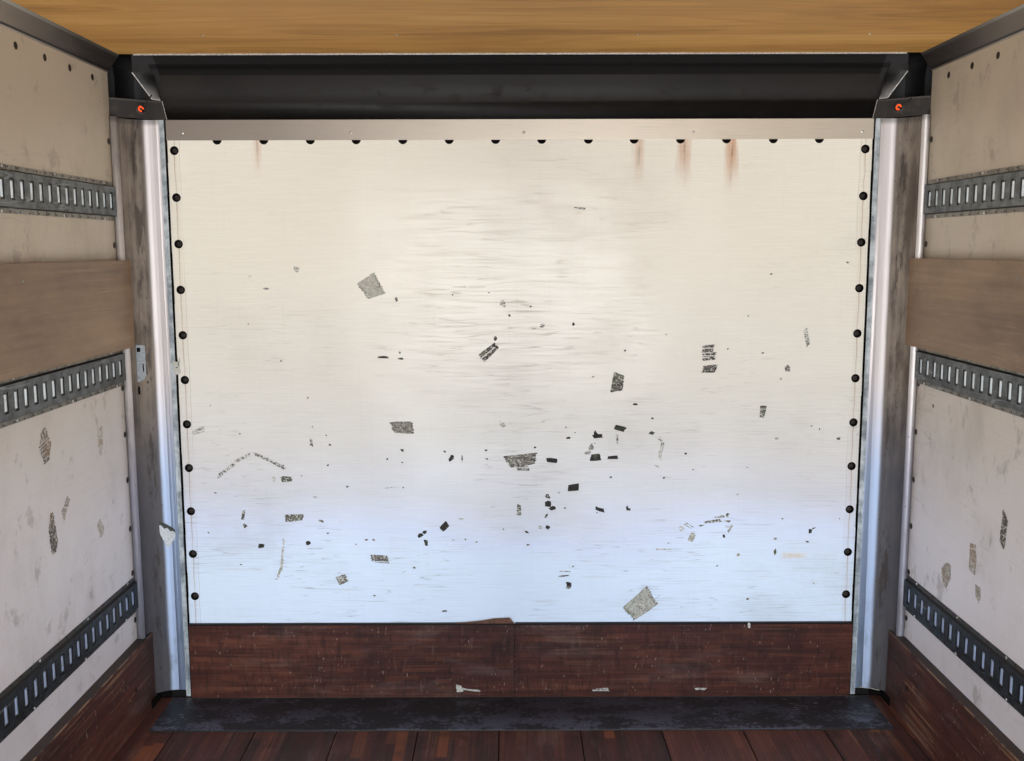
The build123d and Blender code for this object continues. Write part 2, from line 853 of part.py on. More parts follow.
header_lamp_z = (opening_top + cam_height + roof_z) / 2
outer_marker_x = post_out - marker_inset
with BuildPart() as rear_markers:
    with BuildSketch(Plane.XZ.offset(-rear_y)):
        for place in (-outer_marker_x, -marker_spacing, 0, marker_spacing, outer_marker_x):
            with Locations((place, header_lamp_z)):
                Rectangle(marker_width, marker_height)
    extrude(amount=lamp_height, taper=20)
rear_markers.part.label = "rear_markers"
export_step(rear_markers.part, "parts/rear_markers.step")

with BuildPart() as front_markers:
    with BuildSketch(corner_lamp_plane):
        RegularPolygon(lamp_radius, lens_sides)
    extrude(amount=lamp_height)
    mirror(about=Plane.YZ)
    with BuildSketch(Plane.XZ.offset(-post_centre_y - corner_radius)):
        for place in (-marker_spacing, 0, marker_spacing):
            with Locations((place, floor_z + lamp_level + marker_height)):
                Rectangle(marker_width, marker_height)
    extrude(amount=-lamp_height, taper=20)
front_markers.part.label = "front_markers"
export_step(front_markers.part, "parts/front_markers.step")
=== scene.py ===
import bmesh
import bpy
import math
import random
from mathutils import Matrix, Vector


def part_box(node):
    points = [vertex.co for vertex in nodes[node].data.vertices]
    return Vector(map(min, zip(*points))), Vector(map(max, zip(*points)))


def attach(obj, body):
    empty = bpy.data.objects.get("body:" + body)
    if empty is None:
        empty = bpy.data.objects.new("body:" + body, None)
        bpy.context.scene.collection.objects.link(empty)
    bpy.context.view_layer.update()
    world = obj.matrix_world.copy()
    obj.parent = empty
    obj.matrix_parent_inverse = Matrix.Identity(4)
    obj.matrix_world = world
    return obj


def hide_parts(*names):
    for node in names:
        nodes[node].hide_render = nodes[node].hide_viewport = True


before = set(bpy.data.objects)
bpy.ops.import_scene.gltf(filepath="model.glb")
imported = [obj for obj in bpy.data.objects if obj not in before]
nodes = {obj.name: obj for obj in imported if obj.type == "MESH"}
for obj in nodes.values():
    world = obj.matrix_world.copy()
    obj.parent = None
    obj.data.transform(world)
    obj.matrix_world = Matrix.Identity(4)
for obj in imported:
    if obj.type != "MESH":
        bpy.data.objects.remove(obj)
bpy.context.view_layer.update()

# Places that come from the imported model, in metres
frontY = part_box("front_panel")[0][1]
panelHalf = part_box("front_panel")[1][0]
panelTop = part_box("front_panel")[1][2]
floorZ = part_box("floor_boards")[1][2]
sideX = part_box("side_panel_right")[0][0]
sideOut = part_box("bottom_rail_right")[1][0]
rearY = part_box("rear_header")[0][1]
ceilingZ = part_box("ceiling")[0][2]
print("frame loaded:", len(nodes), "nodes")


def paint(red, green, blue):  # a colour written in 0 to 255 as it looks on screen
    def linear(part):
        part /= 255
        return part / 12.92 if part <= 0.04045 else ((part + 0.055) / 1.055) ** 2.4
    return (linear(red), linear(green), linear(blue), 1.0)


# Shader sums: a socket that can be added, multiplied and compared
class Wire:
    def __init__(self, finish, socket):
        self.finish = finish
        self.socket = socket

    def __add__(self, other):
        return self.finish.math("ADD", self, other)

    def __radd__(self, other):
        return self.finish.math("ADD", other, self)

    def __sub__(self, other):
        return self.finish.math("SUBTRACT", self, other)

    def __rsub__(self, other):
        return self.finish.math("SUBTRACT", other, self)

    def __mul__(self, other):
        return self.finish.math("MULTIPLY", self, other)

    def __truediv__(self, other):
        return self.finish.math("DIVIDE", self, other)

    def __gt__(self, other):
        return self.finish.math("GREATER_THAN", self, other)

    def __lt__(self, other):
        return self.finish.math("LESS_THAN", self, other)

    def __abs__(self):
        return self.finish.math("ABSOLUTE", self)


class Finish:  # a material, its nodes and the sums between them
    def __init__(self, name, **uniform):
        self.material = bpy.data.materials.new(name)
        self.material.use_nodes = True
        self.tree = self.material.node_tree
        self.shader = self.tree.nodes["Principled BSDF"]
        for key, value in uniform.items():
            self.shader.inputs[key.replace("_", " ")].default_value = value
        self.place = Wire(self, self.add("TexCoord").outputs["Object"])
        parts = self.add("SeparateXYZ", values={0: self.place})
        self.x, self.y, self.z = (Wire(self, parts.outputs[index]) for index in range(3))

    def add(self, kind, settings=None, values=None):
        node = self.tree.nodes.new("ShaderNode" + kind)
        for key, value in (settings or {}).items():
            if key == "stops":
                ramp = node.color_ramp
                while len(ramp.elements) < len(value):
                    ramp.elements.new(0.5)
                for element, (place, colour) in zip(ramp.elements, value):
                    element.position = place
                    element.color = colour
            else:
                setattr(node, key, value)
        for key, value in (values or {}).items():
            if isinstance(value, Wire):
                self.tree.links.new(value.socket, node.inputs[key])
            else:
                node.inputs[key].default_value = value
        return node

    def math(self, operation, *terms):
        node = self.add("Math", {"operation": operation}, dict(enumerate(terms)))
        return Wire(self, node.outputs[0])

    def least(self, first, second):
        return self.math("MINIMUM", first, second)

    def most(self, *terms):
        result = terms[0]
        for term in terms[1:]:
            result = self.math("MAXIMUM", result, term)
        return result

    def rise(self, value, low, high):  # 0 below low, 1 above high, smooth between
        node = self.add(
            "MapRange",
            {"interpolation_type": "SMOOTHSTEP"},
            {"Value": value, "From Min": low, "From Max": high},
        )
        return Wire(self, node.outputs["Result"])

    def band(self, value, low, high, edge):
        return self.rise(value, low - edge, low + edge) * (1 - self.rise(value, high - edge, high + edge))

    def moved(self, stretch, shift=(0, 0, 0), turn=(0, 0, 0)):
        node = self.add(
            "Mapping",
            values={"Vector": self.place, "Scale": stretch, "Location": shift, "Rotation": turn},
        )
        return Wire(self, node.outputs[0])

    # octaves finer than 2.5 mm wouldn't show, so they are left out
    def noise(self, stretch, detail=3.0, roughness=0.55, shift=(0, 0, 0), turn=(0, 0, 0), twist=0.0):
        detail = min(detail, max(0.0, math.log2(400 / max(stretch))))
        node = self.add(
            "TexNoise",
            values={
                "Vector": self.moved(stretch, shift, turn),
                "Scale": 1.0,
                "Detail": detail,
                "Roughness": roughness,
                "Distortion": twist,
            },
        )
        return Wire(self, node.outputs[0])

    def chance(self, value):  # one random number for each whole number
        node = self.add("TexWhiteNoise", {"noise_dimensions": "1D"}, {"W": value})
        return Wire(self, node.outputs["Value"])

    def mix(self, amount, first, second):
        settings = {"data_type": "RGBA", "clamp_result": True}
        node = self.add("Mix", settings, {0: amount, 6: first, 7: second})
        return Wire(self, node.outputs[2])

    def ramp(self, value, *stops):
        node = self.add("ValToRGB", {"stops": stops}, {"Fac": value})
        return Wire(self, node.outputs["Color"])

    def scratches(self, stretch, turn, width, shift=(0, 0, 0)):  # thin broken lines
        lines = self.noise(stretch, 1.0, 0.4, shift, turn)
        broken = self.noise((3.1, 2.7, 2.9), 2.0, 0.6, shift)
        return (1 - self.rise(abs(lines - 0.5), width * 0.4, width)) * self.rise(broken, 0.5, 0.62)

    def specks(self, stretch, size, share, shift=(0, 0, 0)):  # small round dots in a share of the cells
        node = self.add("TexVoronoi", values={"Vector": self.moved(stretch, shift), "Scale": 1.0})
        colour = self.add("SeparateColor", values={0: Wire(self, node.outputs["Color"])})
        dot = 1 - self.rise(Wire(self, node.outputs["Distance"]), size * 0.6, size)
        return dot * (Wire(self, colour.outputs[0]) < share)

    def wear(self, colour=None, roughness=None, metallic=None, bump=None, depth=0.001):
        links = {"Base Color": colour, "Roughness": roughness, "Metallic": metallic}
        for key, value in links.items():
            if isinstance(value, Wire):
                self.tree.links.new(value.socket, self.shader.inputs[key])
            elif value is not None:
                self.shader.inputs[key].default_value = value
        if bump is not None:
            node = self.add("Bump", values={"Height": bump, "Distance": depth, "Strength": 1.0})
            self.tree.links.new(node.outputs[0], self.shader.inputs["Normal"])
        return self.material


def dress(material, *names):
    for name in names:
        for place in nodes[name].material_slots:
            place.material = material


def pair(name):
    return [name + "_left", name + "_right"]


# Front wall: a white plastic face drawn with painted warm light at the top and painted blue skylight low down,
# scuffed and streaked with rust, with painted shade behind the kick boards
frontWall = {
    "top": paint(237, 233, 220),
    "middle": paint(227, 226, 220),
    "low": paint(218, 217, 217),
    "skyLightFadePainted": paint(213, 215, 222),
    "skyLightPainted": paint(217, 228, 250),
    "bottom": paint(222, 237, 255),
    "grime": paint(120, 116, 108),
    "rust": paint(186, 122, 62),
    "rustCore": paint(92, 58, 34),
    "stain": (0.904, 0.487, 0.044, 0.011),  # across, up, half width, half height
    "stainColour": paint(214, 186, 122),
    "outside": paint(232, 232, 230),
    "roughness": 0.24,
    "streakPitch": 0.1447,
    "streakFirst": floorZ + 1.801,
}
rustStreaks = [  # place across, half width, length, strength
    (-0.823, 0.018, 0.13, 0.45),
    (0.371, 0.026, 0.17, 0.55),
    (0.514, 0.028, 0.17, 0.70),
    (0.662, 0.026, 0.18, 0.95),
]


def frontWallFinish():
    look = frontWall
    f = Finish("frontWallWhite", Coat_Roughness=0.08)
    height = f.rise(f.z, floorZ + 0.25, panelTop)
    cloud = f.noise((1.3, 1.3, 1.6), 4.0, 0.6)
    level = height + (cloud - 0.5) * 0.2
    # painted light: the face goes from painted blue skylight low down to painted warm light at the top
    face = f.ramp(
        level,
        (0.04, look["bottom"]),
        (0.09, look["skyLightPainted"]),
        (0.18, look["skyLightFadePainted"]),
        (0.27, look["low"]),
        (0.42, look["middle"]),
        (0.8, look["top"]),
    )
    # dirt in wide soft stains, thicker low down, with fine level scuffs
    stain = f.rise(f.noise((2.3, 2.3, 3.4), 6.0, 0.62, (4, 0, 2)), 0.48, 0.74)
    low = 1 - f.rise(f.z, floorZ + 0.35, floorZ + 1.5)
    face = f.mix(stain * (0.10 + low * 0.10), face, look["grime"])
    brushed = f.noise((6.0, 5.0, 260.0), 3.0, 0.6)
    upright = f.noise((150.0, 5.0, 3.5), 3.0, 0.6, (2, 0, 5))
    face = f.mix(f.rise(brushed, 0.5, 0.8) * (0.08 + low * 0.10), face, look["grime"])
    face = f.mix(f.rise(upright, 0.58, 0.85) * 0.05, face, look["grime"])
    scuffs = f.most(
        f.scratches((3.0, 5, 70), (0, 0.05, 0), 0.016),
        f.scratches((4.0, 5, 90), (0, -0.12, 0), 0.014, (7, 0, 3)),
    )
    face = f.mix(scuffs * (0.10 + low * 0.22), face, paint(96, 98, 102))
    # thin drips under the side fixings, one for each step of their rows
    turned = f.math("FRACT", (look["streakFirst"] - f.z) / look["streakPitch"])
    wander = (f.noise((9, 5, 15), 3.0, 0.6) - 0.5) * 0.012
    besideRow = abs(abs(f.x) - (panelHalf - 0.022) + wander)
    drip = (1 - f.rise(besideRow, 0.0008, 0.0022)) * (1 - turned * 0.6)
    face = f.mix((1 - f.rise(besideRow, 0.006, 0.016)) * 0.08, face, paint(150, 120, 90))
    sideLine = f.band(abs(f.x) + wander, panelHalf - 0.0385, panelHalf - 0.0365, 0.0008)
    face = f.mix(sideLine * f.rise(f.noise((3, 3, 2), 2.0, 0.5), 0.4, 0.6) * 0.35, face, paint(140, 128, 112))
    face = f.mix(f.rise(abs(f.x), panelHalf - 0.016, panelHalf - 0.002) * 0.12, face, look["grime"])
    face = f.mix(drip * 0.62, face, paint(150, 116, 78))
    # rust that runs down from under the metal strip
    stripLow = panelTop - 0.062
    ragged = f.noise((60, 5, 6), 3.0, 0.6) - 0.5
    broken = f.rise(f.noise((7, 7, 22), 3.0, 0.6, (2, 3, 0)), 0.40, 0.60)
    for place, half, length, strength in rustStreaks:
        fray = ragged * half * 1.6
        across = 1 - f.rise(abs(f.x - place + fray), half * 0.15, half)
        down = f.rise(f.z, stripLow - length, stripLow - length * 0.15)
        face = f.mix(across * down * strength * 0.7, face, look["rust"])
        core = 1 - f.rise(abs(f.x - place + fray * 0.5), 0.0005, 0.0045)
        face = f.mix(core * broken * down * strength * 0.6, face, look["rustCore"])
    across, up, wide, high = look["stain"]
    spread = f.most(abs(f.x - across) / wide, abs(f.z - floorZ - up) / high) + ragged * 1.4
    face = f.mix((1 - f.rise(spread, 0.2, 1.2)) * 0.45, face, look["stainColour"])
    outside = f.y > frontY + 0.010
    face = f.mix(outside, face, look["outside"])
    # painted shade: the panel is drawn near black behind the kick boards
    face = f.mix((f.z < floorZ + 0.257) * (1 - outside), face, paint(24, 18, 16))  # behind the kick boards
    rough = look["roughness"] + stain * 0.10 + scuffs * 0.25 + f.rise(brushed, 0.4, 0.8) * 0.12
    waves = f.noise((1.7, 1.7, 1.1), 2.0, 0.5) * 0.8
    return f.wear(face, rough, bump=waves, depth=0.02)


# Side walls: the same sheet, duller, with upright stains and worn edges
sideWall = {
    "top": paint(170, 157, 138),
    "middle": paint(182, 174, 165),
    "bottom": paint(206, 203, 208),
    "grime": paint(92, 84, 74),
    "outside": paint(236, 236, 234),
}


def sideWallFinish():
    look = sideWall
    f = Finish("sideWallWhite")
    height = f.rise(f.z, floorZ + 0.25, floorZ + 2.0)
    cloud = f.noise((1.5, 1.3, 1.5), 4.0, 0.6)
    face = f.ramp(
        height + (cloud - 0.5) * 0.4, (0.05, look["bottom"]), (0.45, look["middle"]), (0.9, look["top"])
    )
    stain = f.rise(f.noise((4, 3.4, 2.1), 6.0, 0.65, (1, 3, 0)), 0.46, 0.75)
    face = f.mix(stain * 0.22, face, look["grime"])
    rubbed = f.noise((5, 7, 210), 3.0, 0.6)
    hung = f.noise((5, 120, 3.0), 3.0, 0.6)
    face = f.mix(f.rise(rubbed, 0.52, 0.8) * 0.06, face, look["grime"])
    face = f.mix(f.rise(hung, 0.55, 0.85) * 0.05, face, look["grime"])
    smudge = f.rise(f.noise((5, 13, 9), 5.0, 0.7, (6, 2, 5)), 0.57, 0.68)
    face = f.mix(smudge * 0.42, face, paint(112, 102, 90))
    scuffs = f.scratches((5, 3.0, 60), (0.10, 0, 0), 0.016)
    face = f.mix(scuffs * 0.16, face, paint(88, 84, 80))
    dots = f.specks((5, 30, 28), 0.11, 0.16)
    face = f.mix(dots * 0.6, face, paint(58, 50, 44))
    besidePost = f.rise(f.y, frontY - 0.16, frontY - 0.08)
    face = f.mix(besidePost * (0.25 + stain * 0.3), face, paint(110, 96, 80))
    outside = abs(f.x) > sideX + 0.010
    face = f.mix(outside, face, look["outside"])
    rough = f.most(0.42 + stain * 0.2 - outside * 0.15, 0.2)
    return f.wear(face, rough, bump=cloud * 0.5, depth=0.015)


# Wood: floor planks and kick boards of one stained hardwood, each length its own shade
plankWood = {
    "dark": paint(42, 20, 16),
    "middle": paint(80, 38, 29),
    "light": paint(116, 66, 48),
    "warm": paint(150, 84, 44),
    "streak": paint(160, 122, 92),
    "dust": paint(150, 134, 126),
    "fleck": paint(200, 178, 166),
    "pitch": 0.254,
    "joint": -0.070,
}


# along: the way the grain runs; across: the axis over it; the rest are strengths and the veneer's cells
def plankFinish(name, along, across, shade, dust, streaks, lane, length):
    look = plankWood
    isFront = across + along == "zx"
    f = Finish(name, Specular_IOR_Level=0.22 if isFront else 0.5)

    def stretch(fine, coarse):  # the noise's scales, drawn out along the grain
        return tuple(coarse if axis == along else fine if axis == across else 5 for axis in "xyz")

    places = {"x": f.x, "y": f.y, "z": f.z}
    board = f.math("FLOOR", (f.x - look["joint"]) / look["pitch"])
    tone = f.chance(board) if across == "x" else f.noise((1.1, 1.1, 1.1), 1.0)
    grain = f.noise(stretch(38, 1.3), 5.0, 0.62, twist=0.6)
    fibre = f.noise(stretch(260, 5), 3.0, 0.6, (1, 2, 3))
    wood = f.ramp(
        grain * 0.7 + fibre * 0.3 + (tone - 0.5) * 0.22,
        (0.28, look["dark"]),
        (0.5, look["middle"]),
        (0.74, look["light"]),
    )
    # short lengths of veneer, each a little lighter or darker, with their ends showing as fine steps
    row = f.math("FLOOR", places[across] / lane)
    cell = f.chance(row * 7.31 + f.math("FLOOR", places[along] / length + f.chance(row) * 9) * 3.17)
    step = 0.5 if isFront else 1.0
    wood = f.mix(f.rise(cell, 0.55, 1.0) * 0.30 * step, wood, look["light"])
    wood = f.mix(f.rise(cell, 0.90, 1.0) * (0.55 if across == "x" else 0.15), wood, look["warm"])
    wood = f.mix(f.rise(1 - cell, 0.55, 1.0) * 0.40 * step, wood, look["dark"])
    if isFront:  # upright smears, dark and pale
        smear = f.noise((70, 5, 13), 3.0, 0.65, (3, 0, 5))
        wood = f.mix(f.rise(smear, 0.52, 0.70) * 0.55, wood, paint(30, 16, 14))
        wood = f.mix(f.rise(1 - smear, 0.60, 0.72) * 0.40, wood, paint(118, 92, 80))
    wood = f.mix(1 - shade, wood, (0.012, 0.009, 0.008, 1))
    worn = f.rise(f.noise(stretch(9, 2.5), 6.0, 0.7, (3, 1, 2)), 0.52, 0.72)
    wood = f.mix(worn * 0.30 * dust, wood, look["dust"])
    soiled = f.rise(f.noise((5, 5, 5), 5.0, 0.7, (8, 1, 6)), 0.52, 0.68)
    wood = f.mix(soiled * 0.55, wood, paint(28, 18, 16))
    rubbed = f.rise(f.noise(stretch(110, 1.6), 4.0, 0.6, (6, 1, 4)), 0.54, 0.68)
    rubbed = rubbed * f.rise(f.noise((4, 4, 4), 3.0, 0.6, (2, 9, 4)), 0.45, 0.6)
    wood = f.mix(rubbed * streaks, wood, look["streak"])
    flecks = f.rise(f.noise((170, 170, 60), 4.0, 0.7, (2, 2, 2)), 0.66, 0.74)
    flecks = flecks * f.rise(f.noise((14, 14, 9), 3.0, 0.6, (5, 5, 5)), 0.48, 0.60)
    wood = f.mix(flecks * 0.7 * dust, wood, look["fleck"])
    if isFront:  # the shadow line under the white panel
        wood = f.mix(f.z > floorZ + 0.2555, wood, paint(16, 10, 9))
    if across == "z" and along == "y":  # dark top face with a rubbed lip, and shade in the front corner
        # painted shade: the top face is drawn dark
        top = f.z > floorZ + 0.2440
        lip = (abs(f.x) < sideX - 0.0295) * (f.z > floorZ + 0.2405)
        wood = f.mix(top, wood, paint(44, 30, 25))
        wood = f.mix(lip * f.rise(f.noise((9, 9, 9), 4.0, 0.7), 0.42, 0.56) * 0.7, wood, paint(150, 120, 96))
        wood = f.mix(f.rise(f.y, frontY - 0.32, frontY - 0.08) * 0.55, wood, paint(26, 16, 14))
    rough = 0.5 + fibre * 0.2 - worn * 0.06
    return f.wear(wood, rough, bump=grain, depth=0.0008)


# Scuff boards: varnished plywood rubbed by loads, nearly even in colour
def scuffBoardFinish():
    f = Finish("scuffBoardPly")
    grain = f.noise((60, 2.0, 60), 4.0, 0.6, twist=0.3)
    rub = f.noise((3, 1.8, 5), 6.0, 0.65, (1, 2, 3))
    face = f.ramp(
        grain * 0.25 + rub * 0.75,
        (0.35, paint(92, 70, 50)),
        (0.5, paint(117, 93, 70)),
        (0.68, paint(138, 115, 90)),
    )
    lines = f.most(
        f.scratches((5, 1.0, 60), (0.02, 0, 0), 0.016),
        f.scratches((5, 1.3, 90), (-0.03, 0, 0), 0.014, (3, 1, 2)),
    )
    face = f.mix(lines * 0.10, face, paint(182, 164, 140))
    dark = f.rise(f.noise((5, 2.2, 4), 5.0, 0.7, (7, 0, 3)), 0.54, 0.72)
    face = f.mix(dark * 0.45, face, paint(62, 46, 36))
    dots = f.most(f.specks((5, 15, 15), 0.06, 0.2), f.specks((5, 38, 38), 0.10, 0.08, (0, 3, 1)))
    face = f.mix(dots * 0.5, face, paint(50, 40, 32))
    return f.wear(face, 0.38 + rub * 0.25, bump=grain * 0.3 + rub * 0.4, depth=0.001)


# Ceiling: bare sanded plywood, its grain in flames across the body
def ceilingFinish():
    f = Finish("ceilingPly")
    wave = f.noise((0.7, 5.5, 5.5), 3.0, 0.5, (2, 1, 0), twist=0.4)
    rings = f.math("SINE", wave * 70 + f.y * 20)
    fibre = f.noise((6, 190, 190), 3.0, 0.6)
    sheet = f.math("FLOOR", (f.y + 0.35) / 1.22)
    tone = f.chance(sheet)
    face = f.ramp(
        0.5 + rings * 0.06 + (fibre - 0.5) * 0.45 + (tone - 0.5) * 0.1 + (wave - 0.5) * 0.8,
        (0.2, paint(142, 98, 44)),
        (0.5, paint(180, 132, 66)),
        (0.8, paint(198, 152, 86)),
    )
    blotch = f.rise(f.noise((1.2, 1.6, 1), 4.0, 0.6, (5, 5, 0)), 0.4, 0.7)
    face = f.mix(blotch * 0.22, face, paint(140, 88, 42))
    joint = f.math("FRACT", (f.y + 0.35) / 1.22)
    seam = 1 - f.rise(abs(joint - 0.5) * -1 + 0.5, 0.0006, 0.0016)
    face = f.mix(seam * 0.8, face, paint(52, 34, 20))
    knots = f.specks((1.1, 2.3, 1), 0.03, 0.3, (3, 3, 0))
    face = f.mix(knots * 0.6, face, paint(110, 62, 28))
    return f.wear(face, 0.55 + fibre * 0.15, bump=rings * 0.03 + fibre * 0.4, depth=0.0006)


# Metals: one maker for the rails, posts, tracks and fittings, told apart by these values
metals = {  # light, dark, roughness, metallic, size of the blotches, scratches, dirt
    "edgeSteel": (paint(200, 208, 212), paint(122, 132, 140), 0.45, 0.30, 26.0, 0.1, 0.25),
    "fittingSteel": (paint(186, 186, 184), paint(120, 120, 118), 0.35, 0.85, 18.0, 0.4, 0.25),
    "chassisSteel": (paint(52, 52, 55), paint(26, 26, 28), 0.5, 0.1, 9.0, 0.3, 0.5),
    "framePaint": (paint(228, 228, 226), paint(206, 206, 204), 0.3, 0.0, 3.0, 0.15, 0.12),
}


def metalFinish(name):
    light, dark, rough, metallic, size, scratch, dirt = metals[name]
    f = Finish(name, Metallic=metallic)
    blotch = f.noise((size, size, size), 5.0, 0.62)
    streak = f.noise((size * 2, size * 2, size * 0.3), 4.0, 0.6, (3, 1, 4))
    face = f.mix(f.rise(blotch * 0.6 + streak * 0.4, 0.36, 0.64), dark, light)
    lines = f.most(
        f.scratches((22, 2.0, 30), (0.1, 0.2, 0.1), 0.014),
        f.scratches((30, 26, 2.2), (0.15, 0.1, -0.2), 0.012, (5, 2, 1)),
    )
    face = f.mix(lines * scratch, face, light)
    grime = f.rise(f.noise((7, 7, 7), 6.0, 0.68, (9, 4, 2)), 0.5, 0.72)
    face = f.mix(grime * dirt, face, paint(70, 58, 46))
    rough = rough + grime * 0.25 + (blotch - 0.5) * 0.25
    return f.wear(face, rough, bump=blotch * 0.3 + lines * -0.2, depth=0.0006)


# Rails: smooth warm grey towards the cargo space, darker to the front; clean alloy outside
def railFinish():
    f = Finish("railAlloy", Metallic=0.30)
    cloud = f.noise((3, 1.2, 3), 4.0, 0.6)
    fine = f.noise((60, 3, 60), 3.0, 0.6, (1, 2, 3))
    front = f.rise(f.y + (cloud - 0.5) * 0.4, 1.3, 2.2)
    face = f.mix(front, paint(138, 124, 110), paint(44, 38, 35))
    face = f.mix(f.rise(fine, 0.5, 0.8) * 0.25, face, paint(86, 76, 68))
    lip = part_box("side_panel_right")[1][2]
    face = f.mix(f.z < lip + 0.0090, face, paint(20, 17, 16))
    face = f.mix((f.z < lip + 0.0040) * (1 - front * 0.7), face, paint(170, 158, 144))
    face = f.mix((abs(f.x) < sideX - 0.0325) * (1 - front * 0.9), face, paint(150, 152, 148))
    beyond = f.most(abs(f.x) > sideX + 0.0175, f.y > frontY + 0.018)
    outside = f.most(beyond, f.z < floorZ + 0.07, f.z > ceilingZ + 0.004)
    skin = f.mix(f.rise(cloud, 0.35, 0.65), paint(186, 188, 190), paint(166, 168, 171))
    low = 1 - f.rise(f.z, floorZ - 0.1, floorZ + 0.1)
    dirt = f.rise(f.noise((6, 3, 16), 5.0, 0.7, (9, 4, 2)), 0.45, 0.7)
    skin = f.mix(dirt * (0.10 + low * 0.35), skin, paint(112, 102, 90))
    face = f.mix(outside, face, skin)
    return f.wear(face, 0.42 + cloud * 0.12 + outside * 0.02, bump=cloud * 0.4 + fine * 0.03, depth=0.0005)


# Metal strip over the front panel: satin, dull at the left and bright to the right
def stripFinish():
    f = Finish("stripAlloy", Metallic=0.7)
    cloud = f.noise((3, 3, 9), 4.0, 0.6)
    brushed = f.noise((9, 9, 300), 2.0, 0.5)
    along = f.rise(f.x + (cloud - 0.5) * 0.6, -1.1, 0.6)
    face = f.mix(along, paint(146, 137, 129), paint(204, 194, 179))
    face = f.mix(f.rise(brushed, 0.5, 0.8) * 0.12, face, paint(120, 112, 104))
    face = f.mix(f.rise(cloud, 0.5, 0.75) * 0.22, face, paint(120, 110, 100))
    return f.wear(face, 0.36 + cloud * 0.14, bump=cloud * 0.6 + brushed * 0.02, depth=0.001)


# Front header and corner caps: satin black, the header's band under the ceiling darkened as painted shade, the
# caps' box plates a little paler with a painted highlight along their top edge, their hollows black
def headerFinish(name, sheen, isCap):
    f = Finish(name, Specular_IOR_Level=sheen)
    cloud = f.noise((2, 2, 2), 4.0, 0.6)
    dust = f.rise(f.noise((18, 18, 26), 5.0, 0.7, (3, 3, 3)), 0.52, 0.7)
    if isCap:
        boxPlate = (f.z < panelTop + 0.0572) * (f.y < frontY - 0.001) * (abs(f.x) > panelHalf)
        grain = f.mix(dust, paint(48, 45, 43), paint(66, 61, 57))
        # painted highlight: the box plate's top edge is drawn paler
        upper = f.rise(f.z, panelTop + 0.050, panelTop + 0.056)
        face = f.mix(boxPlate, paint(5, 5, 5), f.mix(upper * 0.5, grain, paint(96, 90, 84)))
    else:
        face = f.mix(f.rise(cloud, 0.35, 0.65), paint(24, 21, 20), paint(33, 30, 28))
        face = f.mix(1 - f.rise(f.z, panelTop + 0.01, panelTop + 0.10), face, paint(17, 15, 14))
        # painted shade: the band just under the ceiling is drawn near black
        band = f.rise(f.z, ceilingZ - 0.052, ceilingZ - 0.049)
        face = f.mix(band * 0.9, face, paint(9, 8, 8))
        face = f.mix(dust * 0.12, face, paint(60, 54, 48))
        gusset = (abs(f.x) > panelHalf + 0.007) * (f.y < frontY - 0.010)
        lit = 1 - f.rise(f.z, panelTop + 0.058, panelTop + 0.110)
        face = f.mix(gusset, face, f.mix(lit, paint(38, 37, 37), paint(120, 118, 116)))
    outside = f.most(f.y > frontY + 0.012, abs(f.x) > sideX + 0.002, f.z > ceilingZ + 0.012)
    face = f.mix(outside * (f.y + abs(f.x) > frontY + 1.02), face, paint(40, 40, 42))
    rough = 0.48 + dust * 0.2 + (0 if isCap else band * 0.3)
    return f.wear(face, rough, bump=cloud + dust * 0.2, depth=0.0008)


# Tie-down tracks: dark zinc webs, paler flanges with dark ticks, and a black line of painted shade in the
# crease between them
def trackFinish():
    f = Finish("trackSteel", Metallic=0.35)
    blotch = f.noise((26, 26, 26), 5.0, 0.62)
    high = f.rise(f.z, floorZ + 0.3, floorZ + 1.6)
    dim = f.mix(high, paint(26, 31, 36), paint(66, 70, 71))
    lit = f.mix(high, paint(42, 50, 58), paint(102, 107, 107))
    face = f.mix(f.rise(blotch, 0.36, 0.64), dim, lit)
    flange = f.mix(high, paint(58, 57, 57), paint(132, 128, 118))
    flange = f.mix(f.rise(blotch, 0.4, 0.6) * 0.5, flange, paint(60, 56, 52))
    onFlange = abs(f.x) > sideX - 0.0040
    face = f.mix(onFlange, face, flange)
    # painted shade: a black line in the crease between web and flange
    creaseShade = f.band(abs(f.x), sideX - 0.0113, sideX - 0.0028, 0.0003)
    face = f.mix(creaseShade, face, paint(22, 22, 24))
    tick = f.math("FRACT", f.y / 0.05 + 0.31)
    ticks = f.band(tick, 0.30, 0.42, 0.02) * onFlange * f.rise(f.noise((9, 9, 9), 2.0, 0.5), 0.45, 0.5)
    face = f.mix(ticks * 0.8, face, paint(34, 30, 28))
    grime = f.rise(f.noise((7, 7, 7), 6.0, 0.68, (9, 4, 2)), 0.5, 0.72)
    face = f.mix(grime * 0.3, face, paint(70, 60, 50))
    lines = f.scratches((22, 2.0, 30), (0.1, 0.2, 0.1), 0.014)
    face = f.mix(lines * 0.4, face, paint(150, 156, 158))
    return f.wear(face, 0.5 + grime * 0.2, bump=blotch * 0.3, depth=0.0005)


# Corner posts: alloy, clean where the cove turns to the front wall, brown patina beside the pale bead, drawn
# bluish low down as painted reflection, with painted shade beside the bead, under the box plate, in the groove
# and at the hollow foot
cornerPost = {
    "clean": paint(222, 216, 216),
    "cleanSkyReflectionLow": paint(176, 194, 224),
    "patina": paint(122, 111, 100),
    "patinaDark": paint(76, 66, 58),
    "bead": paint(205, 200, 198),
    "beadSkyReflectionLow": paint(150, 150, 162),
    "outside": paint(188, 190, 193),
    "outsideDull": paint(168, 170, 173),
    "beadReach": 0.0255,
    "middle": (1.167, 2.365),
    "outerReach": 0.0975,
    "patinaReach": 0.072,
}


